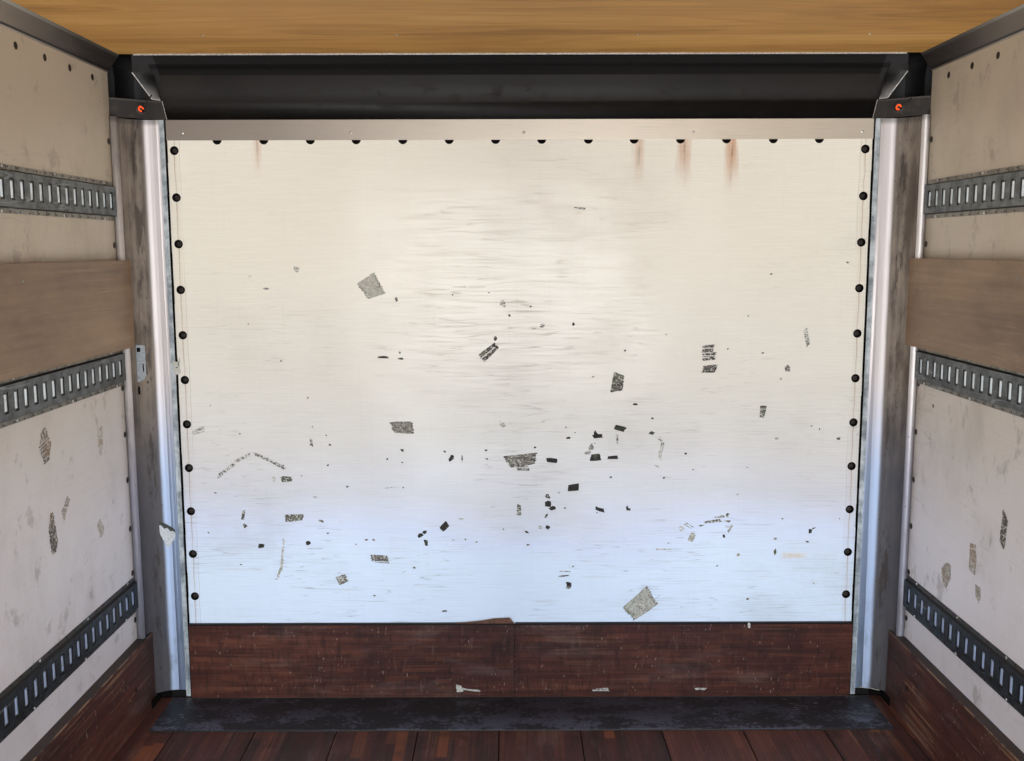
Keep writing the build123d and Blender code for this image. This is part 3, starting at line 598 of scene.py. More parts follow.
def cornerPostFinish():
    look = cornerPost
    f = Finish("cornerPostAlloy")
    blotch = f.noise((16, 16, 5), 5.0, 0.65)
    runs = f.noise((70, 70, 1.6), 4.0, 0.6, (1, 5, 2))
    high = f.rise(f.z, floorZ + 0.7, floorZ + 1.15)
    # painted reflection: the clean metal is drawn bluish low down, where it reflects the blue daylight
    clean = f.mix(high, look["cleanSkyReflectionLow"], look["clean"])
    clean = f.mix(f.rise(runs, 0.5, 0.8) * 0.10, clean, paint(150, 148, 152))
    patina = f.mix(f.rise(blotch * 0.7 + runs * 0.3, 0.36, 0.6), look["patinaDark"], look["patina"])
    # painted reflection: the patina is drawn dark blue-grey low down
    patina = f.mix((1 - high) * 0.75, patina, paint(56, 61, 74))
    edge = (blotch - 0.5) * 0.008
    reach = sideX - look["patinaReach"]
    inPatina = f.rise(abs(f.x) + edge, reach - 0.010, reach + 0.006)
    face = f.mix(inPatina, clean, patina)
    # dark upright smudges where loads have rubbed
    rubbedBand = f.band(abs(f.x) + edge, sideX - 0.062, sideX - 0.038, 0.006)
    smudge = rubbedBand * f.rise(f.noise((30, 30, 7), 5.0, 0.7, (7, 7, 7)), 0.50, 0.62)
    face = f.mix(smudge * 0.75, face, paint(44, 35, 29))
    face = f.mix(f.band(abs(f.x), reach - 0.001, reach + 0.004, 0.002) * 0.35, face, paint(70, 58, 50))
    onBead = (abs(f.x) > sideX - look["beadReach"]) * (f.y < frontY - 0.0685)
    # painted reflection: the bead is drawn blue-grey low down
    bead = f.mix(high, look["beadSkyReflectionLow"], look["bead"])
    bead = f.mix(f.rise(runs * 0.4 + blotch * 0.6, 0.5, 0.62) * 0.45, bead, paint(120, 112, 108))
    face = f.mix(onBead, face, bead)
    spots = f.most(
        f.specks((34, 34, 30), 0.10, 0.16),
        f.specks((80, 80, 50), 0.16, 0.12, (2, 1, 0)),
        f.specks((15, 15, 11), 0.07, 0.3),
    )
    face = f.mix(spots * f.most(inPatina, 0.12) * 0.85, face, paint(46, 37, 32))
    low = 1 - f.rise(f.z, floorZ + 0.05, floorZ + 0.45)
    face = f.mix(low * f.rise(blotch, 0.45, 0.6) * 0.4, face, paint(60, 58, 62))
    # painted shadow under the box plate at the post's top
    face = f.mix(f.rise(f.z, panelTop - 0.022, panelTop - 0.006) * 0.5, face, paint(40, 36, 34))
    # painted shade in the creases either side of the bead
    beadCreaseShade = f.most(
        abs(f.x) > sideX - 0.0022,
        f.band(f.y, frontY - 0.0715, frontY - 0.0560, 0.001) * (abs(f.x) > sideX - 0.020),
    )
    face = f.mix(beadCreaseShade, face, paint(34, 28, 26))
    # painted shade: the post's hollow foot is drawn black
    foot = (f.z < floorZ + 0.0292) * (abs(f.x) < sideX + 0.0165) * (f.y < frontY + 0.0165)
    face = f.mix(foot, face, paint(6, 5, 5))
    # painted shade in the groove beside the front panel's edge
    grooveShade = f.band(abs(f.x), panelHalf - 0.01, panelHalf + 0.0058, 0.0002) * (f.y > frontY + 0.0004)
    face = f.mix(grooveShade, face, paint(18, 12, 12))
    # the outside: laps over the panels and the round part about the post's middle
    fromX, fromY = abs(f.x) - look["middle"][0], f.y - look["middle"][1]
    far = fromX * fromX + fromY * fromY
    roundPart = (far > look["outerReach"] ** 2) * (fromX > 0) * (fromY > 0)
    outside = f.most(abs(f.x) > sideX + 0.0175, f.y > frontY + 0.0175, roundPart)
    skin = f.mix(f.rise(blotch, 0.4, 0.6), look["outside"], look["outsideDull"])
    face = f.mix(outside, face, skin)
    rough = 0.47 + blotch * 0.12 + inPatina * 0.10 - onBead * 0.16 - outside * 0.10
    metal = 0.42 + onBead * 0.3 + outside * 0.1 - inPatina * 0.12
    return f.wear(face, rough, metal, blotch * 0.4 + runs * 0.03, 0.0006)


# Steel plate on the floor at the front wall: black, rubbed to bare blue-grey in patches
def thresholdFinish():
    f = Finish("thresholdSteel")
    patch = f.noise((6, 11, 9), 6.0, 0.7)
    fine = f.noise((70, 70, 70), 4.0, 0.7, (2, 2, 2))
    middle = f.band(f.x, -0.15, 0.65, 0.2)
    bare = f.rise(patch * 0.65 + fine * 0.35 + middle * 0.05, 0.5, 0.58)
    rearward = 1 - f.rise(f.y, frontY - 0.24, frontY - 0.10)
    face = f.mix(bare * (0.30 + rearward * 0.5), paint(34, 35, 42), paint(104, 108, 128))
    chalk = f.rise(f.noise((26, 60, 9), 5.0, 0.75, (5, 1, 1)), 0.62, 0.70)
    face = f.mix(chalk * 0.55, face, paint(136, 136, 146))
    smears = f.rise(f.noise((9, 26, 9), 4.0, 0.65, (5, 1, 1), turn=(0, 0, 0.3)), 0.62, 0.72)
    face = f.mix(smears * 0.35, face, paint(110, 112, 122))
    face = f.mix(f.rise(f.y, frontY - 0.0185, frontY - 0.0145) * 0.7, face, paint(112, 112, 110))
    face = f.mix(f.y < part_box("threshold_plate")[0][1] + 0.0012, face, paint(14, 13, 15))
    return f.wear(face, 0.5 - bare * 0.1, bare * 0.3, fine * 0.5 + patch * 0.5, 0.0012)


def lensFinish(name, colour, glow):
    f = Finish(name, Roughness=0.16, Coat_Weight=0.6, Coat_Roughness=0.06, Metallic=0.0)
    ribs = f.math("SINE", f.x * 900) * 0.5 + f.math("SINE", f.z * 900) * 0.5
    edge = f.noise((40, 40, 40), 2.0, 0.5)
    face = f.mix(f.rise(edge, 0.3, 0.7), colour, tuple(part * 0.55 for part in colour[:3]) + (1,))
    f.shader.inputs["Emission Strength"].default_value = glow
    f.shader.inputs["Emission Color"].default_value = colour
    return f.wear(face, bump=ribs, depth=0.0006)


def panelPaintFinish(name, colour, rough):
    f = Finish(name)
    cloud = f.noise((1.2, 1.2, 1.2), 4.0, 0.6)
    peel = f.noise((160, 160, 160), 2.0, 0.5)
    dusty = f.rise(f.noise((3, 3, 1.2), 6.0, 0.65, (2, 7, 1)), 0.5, 0.75)
    face = f.mix(f.rise(cloud, 0.3, 0.7) * 0.35, colour, paint(214, 212, 206))
    low = 1 - f.rise(f.z, floorZ, floorZ + 0.7)
    face = f.mix(dusty * (0.08 + low * 0.22), face, paint(150, 142, 130))
    lines = f.scratches((26, 2.0, 34), (0.1, 0.2, 0.1), 0.010)
    face = f.mix(lines * 0.25, face, paint(140, 140, 138))
    return f.wear(face, rough + dusty * 0.2, bump=cloud * 0.6 + peel * 0.01, depth=0.006)


# Doors: painted skins in an alloy edge, with a black seal round the face that closes on the frame, its groove
# drawn darker as painted shade
def doorFinish():
    f = Finish("doorSkin")
    low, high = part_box("door_right")
    inner = abs(f.x) > high[0] - 0.002
    edge = f.least(f.least(f.y - low[1], high[1] - f.y), f.least(f.z - low[2], high[2] - f.z))
    cloud = f.noise((1.2, 1.2, 1.2), 4.0, 0.6)
    peel = f.noise((160, 160, 160), 2.0, 0.5)
    face = f.mix(f.rise(cloud, 0.3, 0.7) * 0.35, paint(228, 228, 226), paint(212, 210, 205))
    rubbed = f.rise(f.noise((3, 2.2, 1.4), 6.0, 0.68, (2, 7, 1)), 0.5, 0.72)
    face = f.mix(rubbed * (0.12 + inner * 0.20), face, paint(150, 142, 130))
    lines = f.most(
        f.scratches((5, 2.0, 44), (0.04, 0, 0), 0.012),
        f.scratches((5, 3.0, 60), (-0.1, 0, 0), 0.012, (0, 3, 2)),
    )
    face = f.mix(lines * 0.3, face, paint(120, 116, 110))
    seal = f.band(edge, 0.014, 0.044, 0.0006) * inner
    # painted shade: the groove along the seal is drawn darker
    sealGrooveShade = f.band(edge, 0.027, 0.031, 0.0008) * inner
    rim = edge < 0.014 + (1 - inner) * 0.010
    face = f.mix(rim, face, f.mix(f.rise(peel, 0.4, 0.6), paint(176, 178, 180), paint(156, 158, 160)))
    face = f.mix(seal, face, paint(30, 30, 31))
    face = f.mix(sealGrooveShade, face, paint(12, 12, 12))
    bumps = seal * 4 - sealGrooveShade * 3 + cloud * 0.5 + peel * 0.02
    return f.wear(face, 0.32 + rubbed * 0.2 + seal * 0.25, rim * 0.6 * (1 - seal), bumps, 0.0015)


floorWood = plankFinish("floorPlanks", "y", "x", 0.88, 0.5, 0.20, 0.032, 0.42)
sideKickWood = plankFinish("sideKickWood", "y", "z", 0.80, 0.8, 0.55, 0.024, 0.34)
frontKickWood = plankFinish("frontKickWood", "x", "z", 0.64, 0.45, 0.12, 0.013, 0.055)
alloy = railFinish()
fitting = metalFinish("fittingSteel")
chassis = metalFinish("chassisSteel")
framePaint = panelPaintFinish("rearFramePaint", paint(232, 232, 230), 0.3)
redLens = lensFinish("redLens", paint(176, 18, 14), 0.04)
amberLens = lensFinish("amberLens", paint(255, 120, 20), 0.10)

dress(frontWallFinish(), "front_panel")
dress(sideWallFinish(), *pair("side_panel"))
dress(floorWood, "floor_boards")
dress(frontKickWood, "front_kick_boards")
dress(sideKickWood, *pair("side_kick_board"))
dress(scuffBoardFinish(), *pair("scuff_board"))
dress(ceilingFinish(), "ceiling")
dress(thresholdFinish(), "threshold_plate")
dress(cornerPostFinish(), *pair("corner_post"))
dress(stripFinish(), "front_strip")
dress(metalFinish("edgeSteel"), "edge_strips")
dress(trackFinish(), *pair("tie_down_tracks"))
dress(alloy, "front_sill", *pair("bottom_rail"), *pair("top_rail"))
dress(chassis, "crossmembers", "rear_sill", *pair("long_sill"))
dress(headerFinish("headerBlack", 0.22, False), "front_header")
dress(headerFinish("capBlack", 0.10, True), *pair("corner_cap"))
dress(framePaint, "rear_header", *pair("rear_post"))
dress(panelPaintFinish("roofSkin", paint(222, 222, 220), 0.45), "roof_panel")
dress(doorFinish(), *pair("door"))
dress(fitting, "hinge_lugs", "keepers", *pair("hinge_straps"), *pair("lock_rod"), *pair("rod_guides"))
dress(redLens, "tail_lamps", "rear_markers")
dress(amberLens, "front_markers")
print("materials on all nodes")


# Meshes and pieces
def linked(name, data):  # a new object in the scene
    item = bpy.data.objects.new(name, data)
    bpy.context.collection.objects.link(item)
    return item


def toMesh(shape, name):
    mesh = bpy.data.meshes.new(name)
    shape.to_mesh(mesh)
    shape.free()
    return mesh


def bridge(shape, lower, upper, count=None):  # quads between two loops of corners, or along part of them
    for step in range(count or len(lower)):
        after = (step + 1) % len(lower)
        shape.faces.new((lower[step], lower[after], upper[after], upper[step]))


# a profile of (radius, height) turned about Z from the outside in, closed or over a share of the circle
def ringOf(shape, profile, sides, share=1.0):
    steps = [2 * math.pi * share * step / sides for step in range(sides + (share < 1))]
    rings = [[shape.verts.new((r * math.cos(a), r * math.sin(a), h)) for a in steps] for r, h in profile if r]
    last = [h for r, h in profile if not r]
    for lower, upper in zip(rings, rings[1:]):
        bridge(shape, lower, upper, sides)
    if last:
        tip = shape.verts.new((0, 0, last[0]))
        for step in range(sides):
            shape.faces.new((rings[-1][step], rings[-1][(step + 1) % len(steps)], tip))


def newPiece(name, mesh, material, body, smooth=None):
    if material is not None:
        mesh.materials.clear()
        mesh.materials.append(material)
    if smooth is not None:  # shade smooth, and keep edges sharp past this many degrees
        for face in mesh.polygons:
            face.use_smooth = True
        mesh.set_sharp_from_angle(angle=math.radians(smooth))
    piece = linked(name, mesh)
    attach(piece, body)
    return piece


def meshFrom(name, build):  # a mesh from what build does to an empty bmesh
    shape = bmesh.new()
    build(shape)
    bmesh.ops.recalc_face_normals(shape, faces=shape.faces)
    return toMesh(shape, name)


def joined(name, meshes):
    shape = bmesh.new()
    for mesh in meshes:
        shape.from_mesh(mesh)
    return toMesh(shape, name)


def addBox(shape, low, high, turn=None):  # a box between two corners, turned about its middle
    middle = [(a + b) / 2 for a, b in zip(low, high)]
    size = [abs(b - a) for a, b in zip(low, high)]
    place = Matrix.Translation(middle) @ (turn or Matrix()) @ Matrix.Diagonal((*size, 1))
    return bmesh.ops.create_cube(shape, size=1.0, matrix=place)["verts"]


def smoothCopy(name, body="cargo_body", angle=30):
    shape = bmesh.new()
    shape.from_mesh(nodes[name].data)
    bmesh.ops.remove_doubles(shape, verts=shape.verts, dist=1e-5)
    mesh = toMesh(shape, name + "_smooth")
    piece = newPiece(name + "_smooth", mesh, nodes[name].material_slots[0].material, body, angle)
    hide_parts(name)
    return piece


# Round solids are shown by copies whose loose triangles are joined and shaded smooth
roundNodes = {"corner_post": "aluminium", "corner_cap": "black_coat", "top_rail": "aluminium"}
for nodeName, slotName in roundNodes.items():
    for sideName in pair(nodeName):
        smoothCopy(sideName)
for nodeName in ("lock_rod", "hinge_straps"):
    for sideName, body in zip(pair(nodeName), ("left_door", "right_door")):
        smoothCopy(sideName, body)
smoothCopy("front_header", angle=50)
smoothCopy("hinge_lugs")
print("round pieces shaded smooth")


def lathe(name, profile, sides):
    shape = bmesh.new()
    ringOf(shape, profile, sides)
    return linked(name, toMesh(shape, name))


# Fixings: one Geometry Nodes tree sets a head at each step of a straight row
def makeRowTree():
    tree = bpy.data.node_groups.new("fixingRow", "GeometryNodeTree")
    sockets = {}
    for name, kind in (
        ("Head", "Object"),
        ("Start", "Vector"),
        ("Step", "Vector"),
        ("Count", "Int"),
        ("Turn", "Vector"),
        ("Uneven", "Float"),
        ("Seed", "Int"),
        ("Finish", "Material"),
    ):
        socket = tree.interface.new_socket(name, in_out="INPUT", socket_type="NodeSocket" + kind)
        sockets[name] = socket.identifier
    tree.interface.new_socket("Geometry", in_out="OUTPUT", socket_type="NodeSocketGeometry")

    def add(kind, settings=None, values=None):
        node = tree.nodes.new(kind)
        for key, value in (settings or {}).items():
            setattr(node, key, value)
        for key, value in (values or {}).items():
            if isinstance(value, bpy.types.NodeSocket):
                tree.links.new(value, node.inputs[key])
            else:
                node.inputs[key].default_value = value
        return node

    given = add("NodeGroupInput").outputs
    row = add(
        "GeometryNodeMeshLine",
        {"mode": "OFFSET"},
        {"Count": given["Count"], "Start Location": given["Start"], "Offset": given["Step"]},
    )
    least = add("ShaderNodeMath", {"operation": "MULTIPLY"}, {0: given["Uneven"], 1: -1.0})
    amount = add(
        "FunctionNodeRandomValue",
        {"data_type": "FLOAT"},
        {2: least.outputs[0], 3: given["Uneven"], "Seed": given["Seed"]},
    )
    scaled = {0: given["Step"], "Scale": amount.outputs[1]}
    shift = add("ShaderNodeVectorMath", {"operation": "SCALE"}, scaled)
    moved = add("GeometryNodeSetPosition", None, {"Geometry": row.outputs[0], "Offset": shift.outputs[0]})
    head = add("GeometryNodeObjectInfo", None, {"Object": given["Head"]})
    turn = add("FunctionNodeEulerToRotation", None, {0: given["Turn"]})
    placed = add(
        "GeometryNodeInstanceOnPoints",
        None,
        {"Points": moved.outputs[0], "Instance": head.outputs["Geometry"], "Rotation": turn.outputs[0]},
    )
    real = add("GeometryNodeRealizeInstances", None, {0: placed.outputs[0]})
    coat = add("GeometryNodeSetMaterial", None, {"Geometry": real.outputs[0], "Material": given["Finish"]})
    add("NodeGroupOutput", None, {0: coat.outputs[0]})
    return tree, sockets


rowTree, rowSockets = makeRowTree()
facings = {  # what turns a head's upright axis to each side
    "+x": (0, math.pi / 2, 0),
    "-x": (0, -math.pi / 2, 0),
    "+y": (-math.pi / 2, 0, 0),
    "-y": (math.pi / 2, 0, 0),
    "+z": (0, 0, 0),
    "-z": (math.pi, 0, 0),
}


def fixingRow(head, start, step, count, facing, uneven, seed, finish):
    holder = linked("row", bpy.data.meshes.new("row"))
    modifier = holder.modifiers.new("row", "NODES")
    modifier.node_group = rowTree
    given = {
        "Head": head,
        "Start": start,
        "Step": step,
        "Count": count,
        "Turn": facings[facing],
        "Uneven": uneven,
        "Seed": seed,
        "Finish": finish,
    }
    for name, value in given.items():
        modifier[rowSockets[name]] = value
    graph = bpy.context.evaluated_depsgraph_get()
    mesh = bpy.data.meshes.new_from_object(holder.evaluated_get(graph))
    holder.modifiers.remove(modifier)
    bpy.data.objects.remove(holder)
    return mesh


def plainFinish(name, colour, rough, metallic=0.0, spot=0.3, sheen=0.5):
    f = Finish(name, Metallic=metallic, Specular_IOR_Level=sheen)
    cloud = f.noise((180, 180, 180), 4.0, 0.65)
    shade = tuple(part * (1 - spot) for part in colour[:3]) + (1,)
    face = f.mix(f.rise(cloud, 0.35, 0.65), shade, colour)
    return f.wear(face, rough + (cloud - 0.5) * 0.3, bump=cloud, depth=0.0004)


# Heads of the fixings as (radius, height) profiles and their sides
headShapes = {
    "dome": ([(0.0064, 0), (0.0060, 0.0011), (0.0040, 0.0022), (0, 0.0027)], 10),
    "smallDome": ([(0.0045, 0), (0.0040, 0.0011), (0, 0.0021)], 8),
    "bolt": ([(0.012, 0), (0.012, 0.0014), (0.0088, 0.0014), (0.0088, 0.0060), (0, 0.0064)], 6),
    "sunkScrew": ([(0.0080, 0), (0.0076, 0.0014), (0.0050, 0.0022), (0.0032, 0.0012), (0, 0.0012)], 10),
    # counterbore: a dark shallow dish, painted shade standing for a hole
    "counterbore": ([(0.0100, 0), (0.0093, 0.0006), (0.0080, 0.0002), (0.0040, 0.0002), (0, 0.0008)], 12),
    # pinHole: a small dark disc, painted shade standing for a hole
    "pinHole": ([(0.0024, 0), (0.0022, 0.0005), (0, 0.0004)], 6),
    # cup and its disc: black liners for the recesses, standing for their dirt and as painted shade
    "cup": ([(0.0138, 0), (0.0136, 0.0005), (0.0120, 0.0003), (0.0118, -0.0062), (0, -0.0062)], 16),
    "cupDisc": ([(0.0146, 0), (0.0144, 0.0004), (0, 0.0004)], 16),
}
heads = {name: lathe(name, *shape) for name, shape in headShapes.items()}


def slat(name, tall, wide, height, taper):  # a low plate whose ends are drawn in, for the slots' backs
    def build(shape):
        corners = [(-tall / 2, -wide / 2), (tall / 2, -wide / 2), (tall / 2, wide / 2), (-tall / 2, wide / 2)]
        low = [shape.verts.new((x, y, 0)) for x, y in corners]
        high = [shape.verts.new((x * taper, y * taper, height)) for x, y in corners]
        shape.faces.new(high)
        bridge(shape, low, high)

    return linked(name, meshFrom(name, build))


heads["slotShade"] = slat("slotShade", 0.0515, 0.0205, 0.0004, 0.98)
# painted light: a bright plate in each slot stands for the lit wall seen through it
heads["slotBack"] = slat("slotBack", 0.041, 0.0135, 0.0090, 1.0)


def fixings(name, finish, body, rows):
    meshes = [
        fixingRow(heads[head], start, step, count, facing, uneven, seed, finish)
        for seed, (head, start, step, count, facing, uneven) in enumerate(rows)
    ]
    return newPiece(name, joined(name, meshes), finish, body)


fixingPlaces = {
    "trackLevels": (0.394, 1.132, 1.640),
    "trackFlange": 0.0535,
    "slotPitch": 0.050,
    "rivetPitch": 0.300,
    "outsidePitch": 0.100,
    "recessPitch": 0.1447,
    "boltInset": 0.032,
}


def slotLightFinish():  # painted light: the lit wall seen through the slots
    f = Finish("slotLitWallPainted", Roughness=0.35)
    tone = f.chance(f.math("FLOOR", f.y / 0.05 + 0.3) + f.math("FLOOR", f.z * 3))
    face = f.mix(f.rise(tone, 0.0, 1.0) * 0.5, paint(226, 238, 244), paint(178, 186, 190))
    # painted blue skylight on the lower slots
    low = 1 - f.rise(f.z, floorZ + 0.5, floorZ + 1.2)
    face = f.mix(low * 0.75, face, paint(150, 174, 224))
    smear = f.noise((40, 40, 30), 4.0, 0.65)
    return f.wear(f.mix(f.rise(smear, 0.52, 0.7) * 0.4, face, paint(120, 118, 112)))


def insideFixings():
    look = fixingPlaces
    low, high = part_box("tie_down_tracks_right")
    slots = int((high[1] - low[1]) // look["slotPitch"])
    screws, rivets, holes, worn, shades, paintedLights, cupShades = [], [], [], [], [], [], []
    down = (0, 0, -look["recessPitch"])
    for side, inward in ((-1, "+x"), (1, "-x")):
        wall = side * sideX
        screws += [  # head, start, step, count, facing, uneven
            ("sunkScrew", (side * (panelHalf - 0.022), frontY + 0.0060, floorZ + 1.801), down, 11, "-y", 0),
            # the counterbores are dark dishes painted as the shade of their holes
            ("counterbore", (wall, frontY - 0.195, floorZ + 1.992), (0, -0.150, 0), 30, inward, 0.03),
            ("counterbore", (wall, frontY - 0.100, floorZ + 1.817), (0, 0, -0.1535), 3, inward, 0.03),
            ("counterbore", (wall, frontY - 0.098, floorZ + 1.073), (0, 0, -0.302), 1, inward, 0.03),
            ("counterbore", (wall, frontY - 0.098, floorZ + 0.92), (0, 0, -0.152), 5, inward, 0.03),
            ("sunkScrew", (wall - side * 0.032, frontY - 0.20, floorZ + 0.12), (0, -0.55, 0), 8, inward, 0.05),
        ]
        # black liners in the recesses beside the front panel: dirt and painted shade
        cupShades.append(("cup", (side * (panelHalf - 0.022), frontY, floorZ + 1.801), down, 11, "-y", 0))
        for level in (1.42, 1.23):
            place = (wall - side * 0.030, frontY - 0.13, floorZ + level)
            worn.append(("smallDome", place, (0, -0.60, 0), 8, inward, 0.05))
        for level in look["trackLevels"]:
            for up in (-1, 1):
                place = floorZ + level + up * look["trackFlange"]
                face = side * (sideX - 0.0025)
                step = (0, -look["slotPitch"], 0)
                # dark discs as painted shade for the flanges' holes
                holes.append(("pinHole", (face, high[1] - 0.0375, place), step, slots, inward, 0))
                step = (0, -look["rivetPitch"], 0)
                rivets.append(("smallDome", (face, high[1] - 0.0625, place), step, 15, inward, 0.08))
            step = (0, -look["slotPitch"], 0)
            first = (low[1] + high[1]) / 2 + (slots - 1) / 2 * look["slotPitch"]
            shades.append(("slotShade", (wall, first, floorZ + level), step, slots, inward, 0))
            paintedLights.append(("slotBack", (wall, first, floorZ + level), step, slots, inward, 0))
    # flat black discs as dirt and painted shade in the recesses along the top of the front panel
    cupShades.append(("cupDisc", (-0.945, frontY, panelTop - 0.0605), (look["recessPitch"], 0, 0), 14, "-y", 0.01))
    rivets += [
        ("smallDome", (-1.055, frontY - 0.003, panelTop - 0.040), (0.5318, 0, 0), 5, "-y", 0.01),
        ("smallDome", (-0.9, frontY - 0.35, ceilingZ), (0.6, 0, 0), 4, "-z", 0.10),
        ("smallDome", (-0.9, frontY - 0.95, ceilingZ), (0.6, 0, 0), 4, "-z", 0.10),
    ]
    for name, finish, slotName, rows in (
        ("wallScrews", plainFinish("screwDarkAndHoleShade", paint(38, 28, 22), 0.6, 0.1, 0.6), "black_steel", screws),
        ("trackRivets", plainFinish("rivetBright", paint(206, 204, 200), 0.3, 0.8), "zinc_hardware", rivets),
        ("cupLiners", plainFinish("cupShadeBlack", paint(9, 6, 5), 0.8, sheen=0.08), "black_steel", cupShades),
        ("slotShades", plainFinish("slotBlack", paint(14, 14, 16), 0.8, sheen=0.1), "black_steel", shades),
        ("slotBacks", slotLightFinish(), "side_lining", paintedLights),
        ("trackHoles", plainFinish("pinHoleShade", paint(18, 15, 14), 0.9, sheen=0.1), "black_steel", holes),
        ("boardRivets", plainFinish("rivetWorn", paint(150, 146, 140), 0.4, 0.7, 0.5), "zinc_hardware", worn),
    ):
        fixings(name, finish, "cargo_body", rows)


def outsideFixings():
    pitch = fixingPlaces["outsidePitch"]
    finish = plainFinish("rivetAlloy", paint(196, 196, 194), 0.35, 0.8, 0.2)
    sillLow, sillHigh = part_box("bottom_rail_right")
    railLow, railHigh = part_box("top_rail_right")
    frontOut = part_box("front_sill")[1][1]
    count = int((sillHigh[1] - sillLow[1] - 0.06) / pitch)
    topCount = int((railHigh[1] - railLow[1] - 0.06) / pitch)
    back = (0, -pitch, 0)
    rows = []
    for side, outward in ((-1, "-x"), (1, "+x")):
        rows += [
            ("dome", (side * sillHigh[0], sillHigh[1] - 0.04, sillHigh[2] - 0.016), back, count, outward, 0),
            ("dome", (side * railHigh[0], railHigh[1] - 0.04, railLow[2] + 0.016), back, topCount, outward, 0),
            ("dome", (side * (sideX + 0.022), frontY - 0.126, floorZ + 0.09), (0, 0, pitch), 18, outward, 0),
            ("dome", (side * (panelHalf - 0.045), frontY + 0.022, floorZ + 0.09), (0, 0, pitch), 18, "+y", 0),
            ("dome", (side * sideOut, rearY + 0.115, floorZ + 0.06), (0, 0, pitch), 19, outward, 0),
        ]
    across = 2 * (panelHalf - 0.09)
    step = (across / 20, 0, 0)
    rows += [
        ("dome", (-across / 2, frontOut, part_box("front_sill")[1][2] - 0.016), step, 21, "+y", 0),
        ("dome", (-across / 2, frontY + 0.022, panelTop - 0.035), step, 21, "+y", 0),
    ]
    fixings("outsideRivets", finish, "cargo_body", rows)


def doorFixings():
    finish = plainFinish("boltZinc", paint(176, 174, 168), 0.35, 0.8, 0.35)
    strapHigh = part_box("hinge_straps_right")[1]
    for side, body, outward in ((-1, "left_door", "+x"), (1, "right_door", "-x")):
        face = side * (strapHigh[0] - 0.007)
        rows = [
            ("bolt", (face, strapHigh[1] - 0.03 - 0.055 * step, floorZ + 0.18), (0, 0, 0.81), 3, outward, 0)
            for step in range(3)
        ]
        fixings(body + "Bolts", finish, body, rows)


insideFixings()
outsideFixings()
doorFixings()
for head in heads.values():
    bpy.data.objects.remove(head)
print("fixings set")


